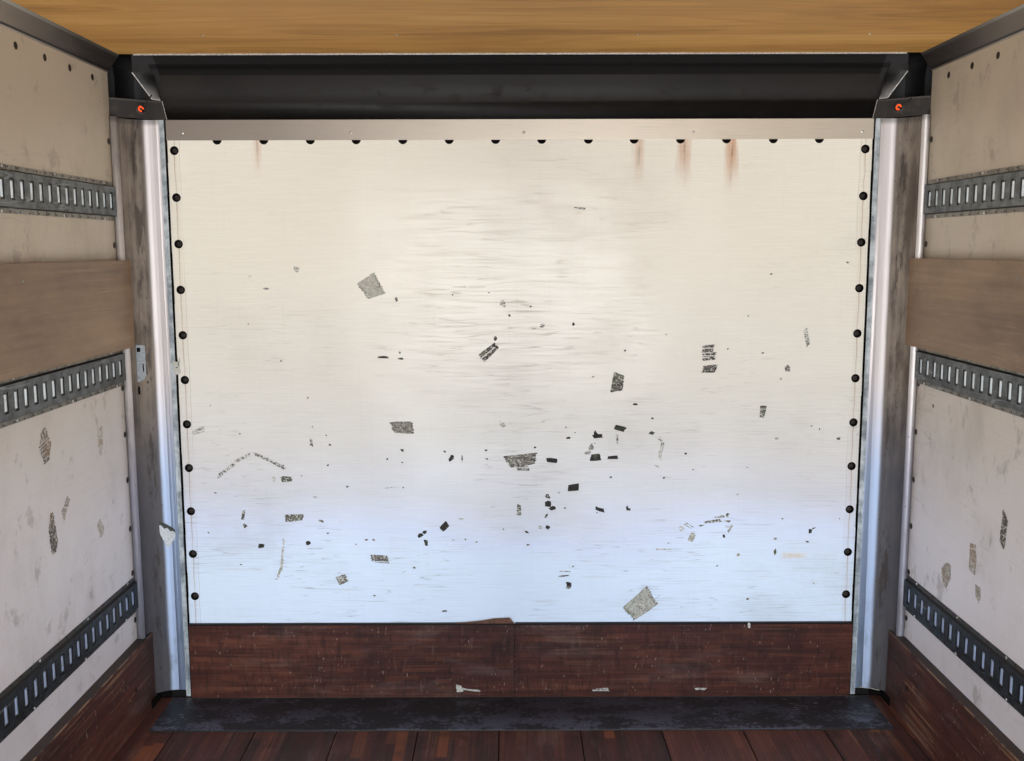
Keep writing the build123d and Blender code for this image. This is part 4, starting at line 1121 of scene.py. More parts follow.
# Torn tape and paper left on the walls: ragged patches as rows of thin strips
tape = {
    "thickness": 0.0005,
    "rowHeight": 0.0026,
    "scattered": 70,
    "dark": paint(30, 28, 27),
    "middle": paint(122, 118, 110),
    "light": paint(188, 186, 178),
}
frontMarks = [  # across, up from the floor, width, height, turn in degrees, paleness, share of gaps
    (-0.475, 1.375, 0.058, 0.074, 24, 0.85, 0.00),
    (-0.38, 0.92, 0.072, 0.040, 0, 0.55, 0.02),
    (0.0, 0.81, 0.092, 0.040, 6, 0.45, 0.06),
    (0.01, 0.785, 0.036, 0.018, 0, 0.50, 0.10),
    (0.315, 1.065, 0.038, 0.066, -6, 0.30, 0.05),
    (-0.095, 1.17, 0.066, 0.030, 40, 0.30, 0.12),
    (0.605, 1.175, 0.034, 0.026, 0, 0.25, 0.20),
    (0.605, 1.15, 0.042, 0.028, 0, 0.25, 0.15),
    (0.61, 1.11, 0.046, 0.026, 0, 0.30, 0.05),
    (0.92, 1.21, 0.014, 0.060, 12, 0.20, 0.35),
    (0.86, 1.11, 0.018, 0.022, 10, 0.40, 0.10),
    (0.785, 0.97, 0.018, 0.040, -8, 0.25, 0.10),
    (-0.96, 0.78, 0.012, 0.078, -52, 0.30, 0.45),
    (-0.905, 0.82, 0.012, 0.060, -64, 0.45, 0.40),
    (-0.83, 0.82, 0.010, 0.084, 66, 0.45, 0.40),
    (-0.785, 0.795, 0.010, 0.050, 60, 0.35, 0.35),
    (-0.745, 0.62, 0.052, 0.026, 4, 0.30, 0.08),
    (-0.465, 0.48, 0.064, 0.026, -4, 0.35, 0.05),
    (-0.59, 0.41, 0.038, 0.030, 20, 0.35, 0.15),
    (0.395, 0.32, 0.090, 0.072, 38, 0.72, 0.00),
    (-0.86, 1.41, 0.014, 0.006, 0, 0.25, 0.30),
    (-0.81, 1.37, 0.024, 0.008, 0, 0.30, 0.30),
    (-0.71, 1.43, 0.022, 0.022, 0, 0.75, 0.20),
    (-0.395, 1.335, 0.010, 0.014, 0, 0.15, 0.10),
    (-0.055, 1.32, 0.024, 0.022, 10, 0.70, 0.10),
    (0.19, 1.62, 0.034, 0.008, 0, 0.35, 0.35),
    (-0.16, 1.375, 0.120, 0.005, 1, 0.60, 0.50),
    (-0.06, 0.93, 0.020, 0.024, 24, 0.70, 0.30),
    (0.755, 0.34, 0.012, 0.012, 0, 0.25, 0.20),
    (-1.045, 0.91, 0.042, 0.020, 20, 0.45, 0.60),
    (-0.68, 0.87, 0.012, 0.030, 0, 0.25, 0.30),
    (-0.765, 0.75, 0.032, 0.020, 0, 0.05, 0.15),
    (-0.805, 0.75, 0.016, 0.026, 0, 0.85, 0.40),
    (-0.67, 0.69, 0.020, 0.006, -20, 0.20, 0.10),
    (-0.91, 0.63, 0.010, 0.036, -8, 0.25, 0.35),
    (-0.905, 0.595, 0.016, 0.016, 20, 0.10, 0.10),
    (-0.655, 0.61, 0.020, 0.010, -35, 0.40, 0.20),
    (-0.785, 0.495, 0.008, 0.116, -6, 0.75, 0.30),
    (-0.80, 0.43, 0.008, 0.050, -20, 0.65, 0.30),
    (-0.19, 0.82, 0.008, 0.026, 0, 0.20, 0.40),
    (-0.11, 0.815, 0.012, 0.010, -20, 0.40, 0.20),
    (0.23, 0.855, 0.022, 0.022, 20, 0.55, 0.10),
    (0.22, 0.835, 0.026, 0.013, 30, 0.55, 0.20),
    (0.315, 0.88, 0.006, 0.038, 0, 0.15, 0.45),
    (0.09, 0.69, 0.022, 0.013, -30, 0.05, 0.30),
    (0.085, 0.625, 0.010, 0.018, -20, 0.15, 0.10),
    (-0.005, 0.645, 0.014, 0.040, 0, 0.30, 0.20),
    (0.065, 0.585, 0.020, 0.013, -20, 0.15, 0.40),
    (-0.195, 0.615, 0.026, 0.006, 0, 0.35, 0.50),
    (0.145, 0.435, 0.038, 0.005, -4, 0.20, 0.25),
    (0.145, 0.42, 0.038, 0.005, 4, 0.20, 0.25),
    (0.16, 0.38, 0.022, 0.013, 0, 0.10, 0.30),
    (0.455, 0.88, 0.020, 0.013, -20, 0.15, 0.35),
    (0.46, 0.855, 0.010, 0.030, -10, 0.62, 0.20),
    (0.455, 0.825, 0.010, 0.032, -4, 0.75, 0.35),
    (0.445, 0.79, 0.022, 0.006, -30, 0.40, 0.30),
    (0.835, 0.88, 0.016, 0.010, 0, 0.20, 0.20),
    (1.035, 0.88, 0.018, 0.010, 28, 0.30, 0.20),
    (0.68, 0.625, 0.016, 0.014, 0, 0.05, 0.15),
    (0.655, 0.62, 0.038, 0.008, 6, 0.10, 0.30),
    (0.63, 0.605, 0.060, 0.010, 6, 0.30, 0.15),
    (0.68, 0.605, 0.026, 0.008, -10, 0.05, 0.35),
    (0.69, 0.58, 0.008, 0.030, -30, 0.10, 0.35),
    (0.555, 0.59, 0.032, 0.013, -32, 0.05, 0.35),
    (0.53, 0.58, 0.022, 0.020, 30, 0.50, 0.65),
    (0.565, 0.55, 0.016, 0.030, -26, 0.70, 0.25),
    (0.595, 0.59, 0.024, 0.007, 0, 0.20, 0.40),
    (0.72, 0.49, 0.012, 0.010, 0, 0.55, 0.30),
    (0.475, 0.51, 0.044, 0.004, 0, 0.60, 0.50),
    (-0.08, 1.21, 0.012, 0.016, 10, 0.25, 0.15),
    (0.07, 1.25, 0.020, 0.013, 20, 0.25, 0.25),
    (0.045, 1.24, 0.026, 0.004, 10, 0.40, 0.55),
    (-0.425, 0.72, 0.044, 0.004, 0, 0.70, 0.60),
]
blackMarks = [  # across, up, width, height, turn: black flecks where the panel's skin is chipped
    (0.175, 0.72, 0.026, 0.022, 0),
    (0.245, 0.90, 0.012, 0.018, 0),
    (0.25, 0.89, 0.026, 0.012, 0),
    (0.325, 0.915, 0.026, 0.016, -20),
    (0.245, 0.82, 0.026, 0.020, 0),
    (0.30, 0.82, 0.026, 0.010, 0),
    (0.10, 0.81, 0.026, 0.014, 0),
    (0.09, 0.665, 0.018, 0.018, 0),
    (0.105, 0.65, 0.022, 0.013, -10),
    (0.26, 0.645, 0.026, 0.010, -14),
    (0.25, 0.65, 0.008, 0.012, 20),
    (0.35, 0.65, 0.008, 0.014, 0),
    (0.355, 0.645, 0.014, 0.008, 10),
    (0.09, 0.585, 0.016, 0.013, 0),
    (0.02, 0.57, 0.018, 0.006, -30),
    (-0.225, 0.82, 0.020, 0.016, 25),
    (-0.25, 0.59, 0.026, 0.020, 36),
    (-0.315, 0.57, 0.014, 0.010, 0),
    (-0.31, 0.535, 0.012, 0.020, 18),
    (-0.33, 0.56, 0.018, 0.012, 20),
    (0.16, 0.39, 0.016, 0.016, 0),
    (-0.255, 0.30, 0.020, 0.006, 12),
    (0.425, 0.90, 0.020, 0.010, -8),
    (0.67, 0.555, 0.010, 0.010, 0),
    (0.955, 0.57, 0.012, 0.013, 0),
    (0.965, 0.58, 0.014, 0.004, 20),
    (0.84, 0.50, 0.010, 0.020, -18),
    (-0.70, 0.535, 0.014, 0.012, 20),
    (-0.855, 0.525, 0.018, 0.013, 0),
    (-0.44, 1.15, 0.026, 0.006, -3),
    (-0.385, 1.145, 0.018, 0.006, 0),
    (0.17, 1.255, 0.010, 0.010, 20),
    (-0.385, 0.845, 0.012, 0.008, -20),
    (0.37, 0.995, 0.016, 0.006, 0),
    (0.155, 0.885, 0.014, 0.006, 0),
]
sideMarks = [  # side, along, up from the floor, width, height, turn, paleness, share of gaps
    (-1, 1.815, 0.99, 0.070, 0.090, 14, 0.40, 0.10),
    (-1, 2.16, 0.935, 0.040, 0.085, 0, 0.78, 0.10),
    (-1, 1.825, 0.75, 0.046, 0.110, 8, 0.30, 0.10),
    (-1, 1.905, 0.795, 0.050, 0.070, -20, 0.60, 0.05),
    (-1, 2.125, 0.68, 0.050, 0.055, 12, 0.75, 0.05),
    (-1, 1.33, 0.56, 0.060, 0.030, 8, 0.45, 0.20),
    (1, 1.765, 0.77, 0.034, 0.100, 4, 0.20, 0.08),
    (1, 1.925, 0.64, 0.054, 0.086, -10, 0.65, 0.05),
    (1, 2.08, 0.545, 0.066, 0.080, 12, 0.60, 0.05),
    (1, 1.88, 0.555, 0.034, 0.050, -12, 0.60, 0.10),
    (1, 1.50, 0.90, 0.050, 0.030, 20, 0.50, 0.25),
    (1, 2.23, 1.02, 0.020, 0.012, 0, 0.30, 0.20),
]
boardMarks = [  # the same on the front kick boards: a white chip and a flake at their top edge
    (-0.206, 0.036, 0.020, 0.030, 10, 0.90, 0.20),
    (-0.170, 0.030, 0.060, 0.010, -4, 0.95, 0.15),
    (0.7585, 0.2525, 0.012, 0.022, 8, 1.00, 0.05),
    (0.600, 0.030, 0.040, 0.010, 5, 0.60, 0.30),
    (0.270, 0.028, 0.050, 0.014, 0, 0.60, 0.35),
]
stripMarks = [  # a piece of pale tape over the left joint
    (-1.1035, 1.119, 0.020, 0.046, 8, 1.05, 0.05),
    (-1.0950, 1.136, 0.010, 0.026, -12, 1.00, 0.25),
]


markLayers = ("paleness", "torn", "rim")  # what each corner of a patch tells its material


def tapeFinish():
    f = Finish("tapeRemains")
    sockets = [f.add("Attribute", {"attribute_name": name}).outputs["Fac"] for name in markLayers]
    pale, torn, rim = (Wire(f, socket) for socket in sockets)
    weave = f.noise((420, 420, 420), 3.0, 0.7)
    blotch = f.noise((90, 90, 90), 4.0, 0.7, (1, 2, 3))
    brushed = f.noise((60, 60, 700), 2.0, 0.6, (3, 1, 2))
    tone = pale + (weave - 0.5) * 0.7 + (blotch - 0.5) * 0.9 + (brushed - 0.5) * 0.5 - rim * 0.34
    face = f.ramp(tone, (0.1, tape["dark"]), (0.5, tape["middle"]), (0.9, tape["light"]))
    tint = f.rise(f.noise((18, 18, 18), 2.0, 0.5, (4, 4, 4)), 0.5, 0.6)
    onSide = abs(f.x) > sideX - 0.004
    face = f.mix(tint * (0.18 + onSide * 0.3), face, f.mix(onSide, paint(150, 168, 138), paint(132, 100, 70)))
    gaps = f.noise((150, 150, 190), 4.0, 0.75, (7, 7, 7)) + torn * 0.30 + rim * 0.06
    holes = f.rise(gaps, 0.60, 0.63)
    holes = holes * f.rise(pale, -0.3, 0.0)  # the black chips are whole
    wall = f.mix(onSide, paint(206, 206, 202), paint(178, 171, 160))
    face = f.mix(holes * f.most(0.75, onSide), face, wall)
    return f.wear(face, 0.75, bump=weave + blotch, depth=0.0005)


def tornPatch(shape, layers, rng, centre, right, outward, width, height, turn, pale, gaps):
    up = Vector((0, 0, 1))
    angle = math.radians(turn)
    along = right * math.cos(angle) + up * math.sin(angle)
    rise = up * math.cos(angle) - right * math.sin(angle)
    rows = max(3, int(height / tape["rowHeight"]))
    boxy = outward.y < 0 and max(width, height) > 0.028
    corners = [(x + rng.uniform(-0.14, 0.14), y + rng.uniform(-0.14, 0.14)) for x, y in
               ((-0.5, -0.5), (0.5, -0.5), (0.5, 0.5), (-0.5, 0.5))]
    sides = 0 if boxy else rng.choice((4, 5, 5, 6))
    corners = corners if boxy else []
    begin = rng.uniform(0, 2)
    for step in range(sides):
        angle = begin + 2 * math.pi * (step + rng.uniform(-0.3, 0.3)) / sides
        reach = 0.5 / max(abs(math.cos(angle)), abs(math.sin(angle))) * rng.uniform(0.78, 1.0)
        corners.append((math.cos(angle) * reach, math.sin(angle) * reach))
    bottom, top = min(y for x, y in corners), max(y for x, y in corners)
    edges = list(zip(corners, corners[1:] + corners[:1]))
    pieces = []
    for row in range(rows + 1):
        level = bottom + (top - bottom) * min(max(row / rows, 0.02), 0.98)
        crossed = [(a, b) for a, b in edges if (a[1] - level) * (b[1] - level) < 0]
        spans = [a[0] + (b[0] - a[0]) * (level - a[1]) / (b[1] - a[1]) for a, b in crossed]
        lead, trail = rng.uniform(-0.05, 0.05), rng.uniform(-0.05, 0.05)
        pieces.append((min(spans) + lead, max(spans) + trail, (row / rows - 0.5)))
    for row, (low, high) in enumerate(zip(pieces, pieces[1:])):
        cuts = [0.0, 1.0]
        while rng.random() < gaps:  # a tear across this strip
            cuts += [rng.random() * 0.9]
        cuts.sort()
        for start, end in zip(cuts, cuts[1:]):
            if len(cuts) > 2 and rng.random() < 0.45:
                continue
            inset = min(0.12, (end - start) * 0.3)
            steps = [(start, 1), (start + inset, 0), (end - inset, 0), (end, 1)]
            lines = []
            for strip, isEnd in ((low, row == 0), (high, row == rows - 1)):
                line = []
                for share, edge in steps:
                    across = strip[0] + (strip[1] - strip[0]) * share
                    point = centre + along * (across * width) + rise * (strip[2] * height)
                    corner = shape.verts.new(point + outward * tape["thickness"])
                    corner[layers[0]], corner[layers[1]], corner[layers[2]] = pale, gaps, max(edge, isEnd)
                    line.append(corner)
                lines.append(line)
            for step in range(3):
                quad = [lines[0][step], lines[0][step + 1], lines[1][step + 1], lines[1][step]]
                first, second = quad[1].co - quad[0].co, quad[3].co - quad[0].co
                if first.cross(second).dot(outward) < 0:
                    quad.reverse()
                shape.faces.new(quad)


def tapePatches():
    rng = random.Random(11)
    shape = bmesh.new()
    layers = [shape.verts.layers.float.new(name) for name in markLayers]
    chips = [(x, up, wide * 1.2, tall * 1.2, turn, -0.5, 0.0) for x, up, wide, tall, turn in blackMarks]
    for _ in range(tape["scattered"]):  # small ones anywhere, thicker in the lower middle
        up = rng.triangular(0.28, 1.5, 0.55)
        chips.append((rng.uniform(-1.05, 1.05), up, rng.uniform(0.005, 0.014), rng.uniform(0.004, 0.008),
                      rng.uniform(-30, 30), rng.uniform(-0.1, 0.3), 0.1))
    for depth, marks in ((0, frontMarks), (0, chips), (0.012, boardMarks), (0.0022, stripMarks)):
        for across, height, wide, tall, turn, pale, gaps in marks:
            centre = Vector((across, frontY - depth, floorZ + height))
            facing = Vector((1, 0, 0)), Vector((0, -1, 0))
            tornPatch(shape, layers, rng, centre, *facing, wide, tall, turn, pale, gaps)
    for side, along, height, wide, tall, turn, pale, gaps in sideMarks:
        centre = Vector((side * sideX, along, floorZ + height))
        facing = Vector((0, 1, 0)), Vector((-side, 0, 0))
        tornPatch(shape, layers, rng, centre, *facing, wide, tall, turn, pale, gaps)
    newPiece("tapeRemains", toMesh(shape, "tapeRemains"), tapeFinish(), "cargo_body")


tapePatches()
print("tape remains set")


# Corner lamps seen from inside: a dark grommet round a glowing socket, and a short wire into the cap
cornerLamp = {
    "place": (1.167, 2.4125, floorZ + 1.924),
    "facing": (-0.58, -0.81, 0),
    "wire": ((0.008, -0.010, 0.006), (0.020, -0.020, 0.012), (0.031, -0.020, 0.024), (0.037, -0.008, 0.040)),
    "wireRadius": 0.0028,
    # profiles as (radius, height)
    "grommet": ((0.0165, -0.002), (0.0165, 0.0022), (0.0125, 0.0034), (0.0095, 0.0010), (0.0095, -0.006)),
    "core": ((0.0042, -0.006), (0.0042, -0.001), (0, -0.0004)),
    "glow": ((0.0096, -0.004), (0.0040, -0.0036)),
}


def tube(shape, points, radius, sides=8):
    rings = []
    for index, point in enumerate(points):
        before = points[max(index - 1, 0)]
        after = points[min(index + 1, len(points) - 1)]
        along = (after - before).normalized()
        first = along.cross(Vector((0.3, 0.2, 1))).normalized()
        second = along.cross(first)
        rings.append(
            [
                shape.verts.new(
                    point
                    + first * (radius * math.cos(2 * math.pi * step / sides))
                    + second * (radius * math.sin(2 * math.pi * step / sides))
                )
                for step in range(sides)
            ]
        )
    for lower, upper in zip(rings, rings[1:]):
        bridge(shape, lower, upper)
    shape.faces.new(rings[0])
    shape.faces.new(rings[-1])


def cornerLamps():
    rubber = plainFinish("grommetRubber", paint(26, 24, 24), 0.55)
    glow = Finish("socketGlow", Roughness=0.3, Emission_Strength=0.9, Emission_Color=paint(255, 84, 30))
    ringPlace = glow.noise((300, 300, 300), 2.0, 0.5)
    glow.wear(glow.mix(glow.rise(ringPlace, 0.4, 0.6), paint(255, 96, 30), paint(214, 50, 16)))
    for side, sideName in ((-1, "left"), (1, "right")):
        x, y, z = cornerLamp["place"]
        centre = Vector((side * x, y, z))
        facing = Vector((cornerLamp["facing"][0] * side, cornerLamp["facing"][1], 0)).normalized()
        turn = facing.to_track_quat("Z", "Y").to_matrix().to_4x4()
        place = Matrix.Translation(centre) @ turn

        def grommet(shape):
            ringOf(shape, cornerLamp["grommet"], 20)
            ringOf(shape, cornerLamp["core"], 12)
            bmesh.ops.transform(shape, matrix=place, verts=shape.verts)

        def socket(shape):
            ringOf(shape, cornerLamp["glow"], 16, share=0.82)
            bmesh.ops.transform(shape, matrix=place, verts=shape.verts)

        def wire(shape):
            points = [centre + Vector(step) for step in cornerLamp["wire"]]
            tube(shape, points, cornerLamp["wireRadius"])

        newPiece("grommet_" + sideName, meshFrom("grommet", grommet), rubber, "cargo_body", 40)
        newPiece("socket_" + sideName, meshFrom("socket", socket), glow.material, "cargo_body")
        newPiece("lampWire_" + sideName, meshFrom("lampWire", wire), rubber, "cargo_body", 60)


cornerLamps()
print("corner lamps set")


# Dark fillers: sealant beside the front panel, black plates as painted shade in the posts' hollow feet, and
# filler in the floor's joints, both packed dirt and painted shade in the gaps
fillers = {
    "sealLow": panelHalf - 0.0004,
    "sealHigh": panelHalf + 0.0056,
    "sealProud": 0.0012,
    "sealStep": 0.055,
    "jointHalf": 0.0021,
    "jointPitch": plankWood["pitch"],
    "jointFirst": plankWood["joint"] - 4 * plankWood["pitch"],
    "footShadeBoxes": (  # low and high corners, from the middle, the front panel's face and the floor
        ((1.110, 0.0015, 0.001), (1.2110, 0.004, 0.0285)),
        ((1.2085, -0.082, 0.001), (1.2115, 0.002, 0.0285)),
        ((1.110, -0.001, 0.001), (1.2110, 0.004, 0.002)),
    ),
}


def darkFillers():
    rng = random.Random(5)
    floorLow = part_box("floor_boards")[0]

    def build(shape):
        for side in (-1, 1):
            level = floorZ + 0.006
            while level < panelTop - 0.001:
                upper = min(level + fillers["sealStep"] * rng.uniform(0.6, 1.4), panelTop - 0.001)
                inner = fillers["sealLow"] - rng.uniform(0, 0.0012)
                outer = fillers["sealHigh"] + rng.uniform(-0.0003, 0.0009)
                near = frontY - fillers["sealProud"]
                addBox(shape, (side * inner, near, level), (side * outer, frontY + 0.004, upper))
                level = upper
            # painted shade: black plates close the posts' hollow feet
            for corners in fillers["footShadeBoxes"]:
                addBox(shape, *((side * x, frontY + y, floorZ + z) for x, y, z in corners))
        # the joints' filler: packed dirt, and painted shade in the gaps
        for step in range(10):
            middle = fillers["jointFirst"] + step * fillers["jointPitch"]
            half = fillers["jointHalf"]
            low = (middle - half, floorLow[1] + 0.002, floorZ - 0.022)
            high = (middle + half, frontY - 0.02, floorZ - 0.004)
            addBox(shape, low, high)

    black = plainFinish("sealantAndShadeBlack", paint(12, 9, 8), 0.85, sheen=0.1)
    newPiece("darkFillers", meshFrom("darkFillers", build), black, "cargo_body")


# Worn edges: bare metal along the gussets and box plates, the ceiling's front edge and the torn right foot
wornEdges = {
    "gussetFoot": panelTop + 0.058,
    "gussetRun": (68, 91),  # outwards and rearwards, in mm
    "gussetHalf": 0.0015,
    "lower": ((110, 71), (78, 35.5), (46, 0), (31, 0), (17, 0)),  # along the gusset and above its foot, in mm
    "upper": ((17, 0), (22, 11), (33, 65), (52, 96), (68, 122)),
    "plateEnd": ((1.0985, -0.0036, 0.0010), (1.1040, -0.0046, 0.0280), (1.1095, -0.0056, 0.0565)),
    "plate": ((1.0985, 0.0010), (1.1120, 0.0010), (1.1385, 0.0565), (1.1095, 0.0565)),
    "foot": (
        (1.1207, -0.0024, 0.0295), (1.1476, -0.0026, 0.0300), (1.1600, -0.0032, 0.0275),
        (1.1743, -0.0068, 0.0285), (1.1880, -0.0120, 0.0265), (1.2001, -0.0190, 0.0270),
    ),
}


def gussetPoint(side, along, above):  # on the middle of the gusset's thickness
    out, back = wornEdges["gussetRun"]
    unit, half = math.hypot(out, back), wornEdges["gussetHalf"]
    reach, up = along / 1000, wornEdges["gussetFoot"] + above / 1000
    x = side * (panelHalf + reach * out / unit - half * back / unit)
    return Vector((x, frontY - reach * back / unit - half * out / unit, up))


def bareEdges():
    def bright(shape):
        for side in (-1, 1):
            tube(shape, [gussetPoint(side, *point) for point in wornEdges["lower"]], 0.0017)
            plateEnd = [Vector((side * x, frontY + y, panelTop + z)) for x, y, z in wornEdges["plateEnd"]]
            tube(shape, plateEnd, 0.0010)
        tube(shape, [Vector((x, frontY + y, floorZ + z)) for x, y, z in wornEdges["foot"]], 0.0012, 5)
        addBox(shape, (-1.160, 2.3492, ceilingZ - 0.0042), (1.160, 2.3518, ceilingZ))

    def plates(shape):
        for side in (-1, 1):
            layers = []
            for depth in (0.0, 0.0022):
                near = frontY - 0.0030 + depth
                slope = [(x, near - (x - 1.0985) * 0.165, z) for x, z in wornEdges["plate"]]
                layers.append([shape.verts.new((side * x, y, panelTop + z)) for x, y, z in slope])
            shape.faces.new(layers[0])
            shape.faces.new(list(reversed(layers[1])))
            bridge(shape, layers[1], layers[0])

    def dull(shape):
        for side in (-1, 1):
            tube(shape, [gussetPoint(side, *point) for point in wornEdges["upper"]], 0.0012)

    capBlack = nodes["corner_cap_left"].material_slots[0].material
    for name, build, finish, slotName in (
        ("bareEdges", bright, plainFinish("bareEdge", paint(206, 203, 198), 0.4, 0.3, 0.45), "aluminium"),
        ("boxPlateEnds", plates, capBlack, "black_coat"),
        ("dullEdges", dull, plainFinish("dullEdge", paint(104, 101, 97), 0.5, 0.3, 0.4), "aluminium"),
    ):
        newPiece(name, meshFrom(name, build), finish, "cargo_body")


# Things stuck on the left post: a torn blank label and the track's end plate with its holes, drawn as black
# patches of painted shade.
# Each is a list of (across, low, high) columns, bent round the post's cove
onPost = {
    "label": ((1.1345, 0.558, 0.580), (1.142, 0.546, 0.588), (1.152, 0.532, 0.594), (1.162, 0.520, 0.600),
              (1.172, 0.544, 0.606), (1.180, 0.562, 0.611), (1.1835, 0.575, 0.613)),
    "labelTop": ((1.1345, 0.572, 0.581), (1.142, 0.578, 0.589), (1.150, 0.577, 0.594), (1.160, 0.589, 0.600),
                 (1.170, 0.586, 0.606), (1.178, 0.598, 0.611), (1.1838, 0.600, 0.614)),
    "plate": ((1.1985, 1.095, 1.190), (1.204, 1.084, 1.193), (1.212, 1.078, 1.194), (1.220, 1.075, 1.195)),
    "holes": (
        ((1.2105, 1.172, 1.186), (1.2185, 1.172, 1.186)),
        ((1.2035, 1.108, 1.132), (1.2065, 1.108, 1.132)),
        ((1.2155, 1.036, 1.062), (1.2200, 1.036, 1.062)),
    ),
    "coveStart": 1.148,
    "coveRadius": 0.09,
    "coveDepth": 0.092,
}


def coveY(x):
    across = max(x - onPost["coveStart"], 0)
    return frontY - onPost["coveDepth"] + math.sqrt(onPost["coveRadius"] ** 2 - across ** 2)


def onCove(shape, columns, lift):
    lines = []
    for x, low, high in columns:
        slope = max(x - onPost["coveStart"], 0) / onPost["coveRadius"]
        place = (-(x - slope * lift), coveY(x) - lift * math.sqrt(1 - slope * slope))
        lines.append([shape.verts.new((*place, floorZ + height)) for height in (low, high)])
    for first, second in zip(lines, lines[1:]):
        shape.faces.new((second[0], first[0], first[1], second[1]))


def postPieces():
    paper = plainFinish("labelPaper", paint(205, 210, 216), 0.7, spot=0.25)
    soiled = plainFinish("labelSoiled", paint(70, 76, 72), 0.8, spot=0.5)
    plate = plainFinish("endPlateZinc", paint(146, 154, 160), 0.45, 0.35, 0.35)
    black = plainFinish("holeShadeBlack", paint(12, 11, 11), 0.9, sheen=0.1)
    for name, columns, lift, finish, slotName in (
        ("label", [onPost["label"]], 0.0012, paper, "side_lining"),
        ("labelTop", [onPost["labelTop"]], 0.0018, soiled, "side_lining"),
        ("trackEndPlate", [onPost["plate"]], 0.0016, plate, "galvanised"),
        # the holes are black patches of painted shade
        ("endPlateHoles", onPost["holes"], 0.0022, black, "black_steel"),
    ):
        shape = bmesh.new()
        for item in columns:
            onCove(shape, item, lift)
        newPiece(name, toMesh(shape, name), finish, "cargo_body")


# Splinter: a sliver of the front kick board that stands up beside its joint, as (across, height) corners
splinter = (
    (-0.222, 0.2612), (-0.140, 0.2680), (-0.090, 0.2765),
    (-0.036, 0.2795), (-0.031, 0.2725), (-0.022, 0.2612),
)


def splinterPiece():
    def build(shape):
        near, far = (
            [shape.verts.new((x, frontY - depth, floorZ + height)) for x, height in splinter]
            for depth in (0.0118, 0.0090)
        )
        shape.faces.new(near)
        shape.faces.new(list(reversed(far)))
        bridge(shape, far, near)

    wood = plainFinish("splinterWood", paint(112, 72, 48), 0.7, spot=0.6)
    newPiece("splinter", meshFrom("splinter", build), wood, "cargo_body")


# Lamp rims: rubber rings round the tail lamps and dark bases behind the flat rear markers
lampRims = {
    "tailLevel": (0.052 + floorZ) / 2,
    "tailPlaces": (1.159, 1.014),
    "profile": (
        (0.0590, 0), (0.0590, 0.0065), (0.0570, 0.0085),
        (0.0535, 0.0085), (0.0525, 0.0060), (0.0525, 0),
    ),
}


def lampRimPieces():
    def build(shape):
        for side in (-1, 1):
            for across in lampRims["tailPlaces"]:
                start = len(shape.verts)
                ringOf(shape, lampRims["profile"], 28)
                shape.verts.ensure_lookup_table()
                turn = Matrix.Rotation(math.pi / 2, 4, "X")
                place = Matrix.Translation((side * across, rearY, lampRims["tailLevel"])) @ turn
                bmesh.ops.transform(shape, matrix=place, verts=shape.verts[start:])
        low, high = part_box("rear_markers")
        for across in (low[0] + 0.032, -0.160, 0, 0.160, high[0] - 0.032):
            lowCorner = (across - 0.038, rearY - 0.004, low[2] - 0.005)
            highCorner = (across + 0.038, rearY + 0.002, high[2] + 0.005)
            addBox(shape, lowCorner, highCorner)

    rubber = plainFinish("rimRubber", paint(30, 29, 29), 0.6)
    newPiece("lampRims", meshFrom("lampRims", build), rubber, "cargo_body", 35)


darkFillers()
bareEdges()
postPieces()
splinterPiece()
lampRimPieces()
print("fillers, bare edges and small pieces set")


# Stage: pale floor, pale surroundings, two soft lamps outside and even ones in the doorway and inside
stage = {
    "floorColour": paint(233, 233, 231),
    "floorHalf": 30,
    "skyColour": (0.93, 0.95, 0.98, 1),
    "skyStrength": 0.75,
    "seenColour": (0.80, 0.81, 0.82, 1),
    "lowSpread": math.radians(36),
}
white = (1, 1, 1)
lamps = {  # power, tint, whether its light is the same near and far
    "doorwayLamp": (3.7, (0.93, 0.97, 1.0), True),
    "sideLamp": (6.6, white, True),
    "ceilingLamp": (3.8, white, True),
    "lowLamp": (0.32, (0.60, 0.79, 1.0), True),
    "keyLamp": (210.0, white, False),
    "fillLamp": (100.0, white, False),
}


def makeStage():
    f = Finish("stageFloor", Roughness=0.8)
    f.shader.inputs["Base Color"].default_value = stage["floorColour"]
    mesh = bpy.data.meshes.new("stageFloor")
    far = stage["floorHalf"]
    mesh.from_pydata([(-far, -far, 0), (far, -far, 0), (far, far, 0), (-far, far, 0)], [], [(0, 1, 2, 3)])
    mesh.materials.append(f.material)
    floor = linked("stageFloor", mesh)
    world = bpy.data.worlds.new("paleRoom")
    bpy.context.scene.world = world
    world.use_nodes = True
    tree = world.node_tree
    background = tree.nodes["Background"]
    background.inputs[0].default_value = stage["skyColour"]
    background.inputs[1].default_value = stage["skyStrength"]
    pale = tree.nodes.new("ShaderNodeBackground")
    pale.inputs[0].default_value = stage["seenColour"]
    pale.inputs[1].default_value = 1.0
    path = tree.nodes.new("ShaderNodeLightPath")
    seen = path.outputs["Is Camera Ray"]
    for ray in ("Is Glossy Ray", "Is Transmission Ray"):
        either = tree.nodes.new("ShaderNodeMath")
        either.operation = "MAXIMUM"
        tree.links.new(seen, either.inputs[0])
        tree.links.new(path.outputs[ray], either.inputs[1])
        seen = either.outputs[0]
    choose = tree.nodes.new("ShaderNodeMixShader")
    for index, source in enumerate((seen, background.outputs[0], pale.outputs[0])):
        tree.links.new(source, choose.inputs[index])
    tree.links.new(choose.outputs[0], tree.nodes["World Output"].inputs[0])


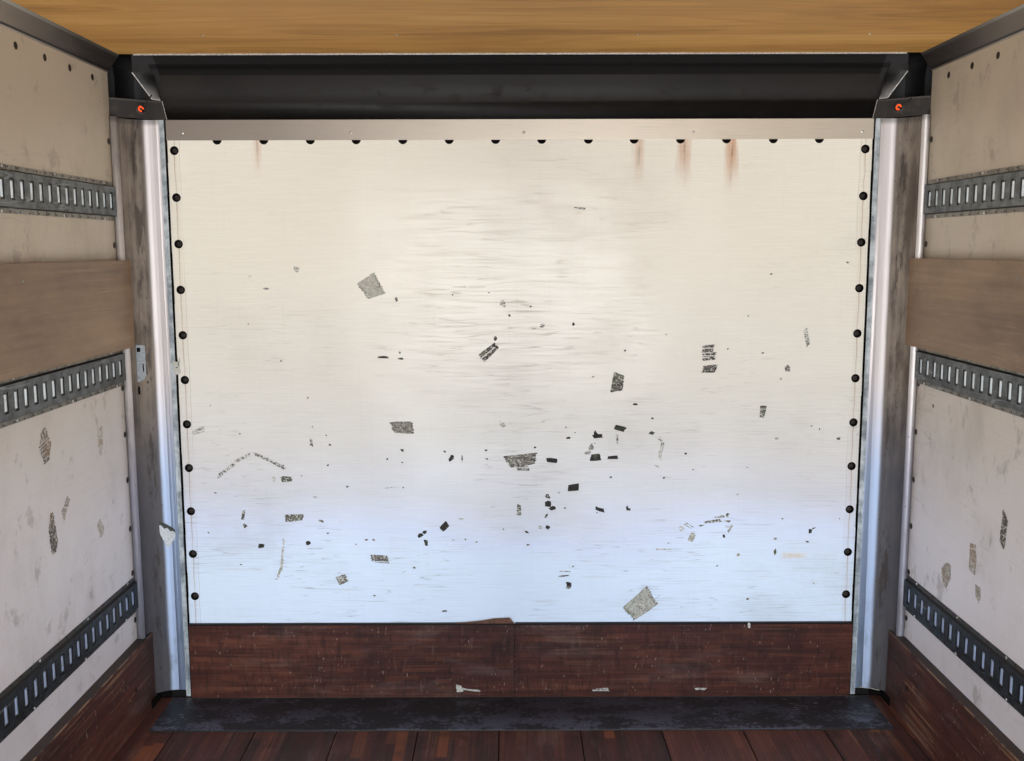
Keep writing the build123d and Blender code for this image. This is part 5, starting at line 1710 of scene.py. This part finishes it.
def areaLamp(name, place, aim, size, power, tint, even):
    lamp = bpy.data.lights.new(name, "AREA")
    lamp.shape = "RECTANGLE"
    lamp.size, lamp.size_y = size
    lamp.energy = power
    lamp.color = tint
    item = linked(name, lamp)
    item.location = place
    item.rotation_euler = (Vector(aim) - Vector(place)).to_track_quat("-Z", "Y").to_euler()
    item.visible_camera = False
    if even:  # the same light near and far, so that the whole inside is lit alike
        lamp.use_nodes = True
        tree = lamp.node_tree
        falloff = tree.nodes.new("ShaderNodeLightFalloff")
        falloff.inputs["Strength"].default_value = 1.0
        tree.links.new(falloff.outputs["Constant"], tree.nodes["Emission"].inputs["Strength"])


makeStage()
lowZ = floorZ + 0.30
for lampName, place, aim, size in (
    ("doorwayLamp", (0, rearY - 0.35, 1.3), (0, frontY, 1.25), (2.2, 1.8)),
    ("sideLamp", (0, 0.2, 1.30), (-1, 0.2, 1.30), (4.4, 1.7)),
    ("sideLamp", (0, 0.2, 1.30), (1, 0.2, 1.30), (4.4, 1.7)),
    ("ceilingLamp", (0, 1.2, lowZ), (0, 1.21, ceilingZ), (2.0, 2.0)),
    ("lowLamp", (0, 0.1, lowZ), (0, frontY, lowZ), (2.3, 0.1)),
    ("keyLamp", (5.0, -4.5, 6.5), (0, 0, 1.2), (4.0, 4.0)),
    ("fillLamp", (-6.0, 2.5, 4.5), (0, 0, 1.2), (4.0, 4.0)),
):
    areaLamp(lampName, place, aim, size, *lamps[lampName])
bpy.data.lights["lowLamp"].spread = stage["lowSpread"]

view = {  # the photo's camera, found from its edges
    "lens": 34.86,
    "sensor": 36.0,
    "nearest": 0.05,
    "place": (-0.0318, -0.7267, 1.726),
    "turn": (math.pi / 2 - 0.132, 0.0025, -0.0019),
}
camera = linked("camera", bpy.data.cameras.new("camera"))
camera.data.lens = view["lens"]
camera.data.sensor_width = view["sensor"]
camera.data.clip_start = view["nearest"]
camera.location = view["place"]
camera.rotation_euler = view["turn"]
bpy.context.scene.camera = camera
bpy.context.scene.view_settings.view_transform = "Standard"
print("stage, lamps and camera set")
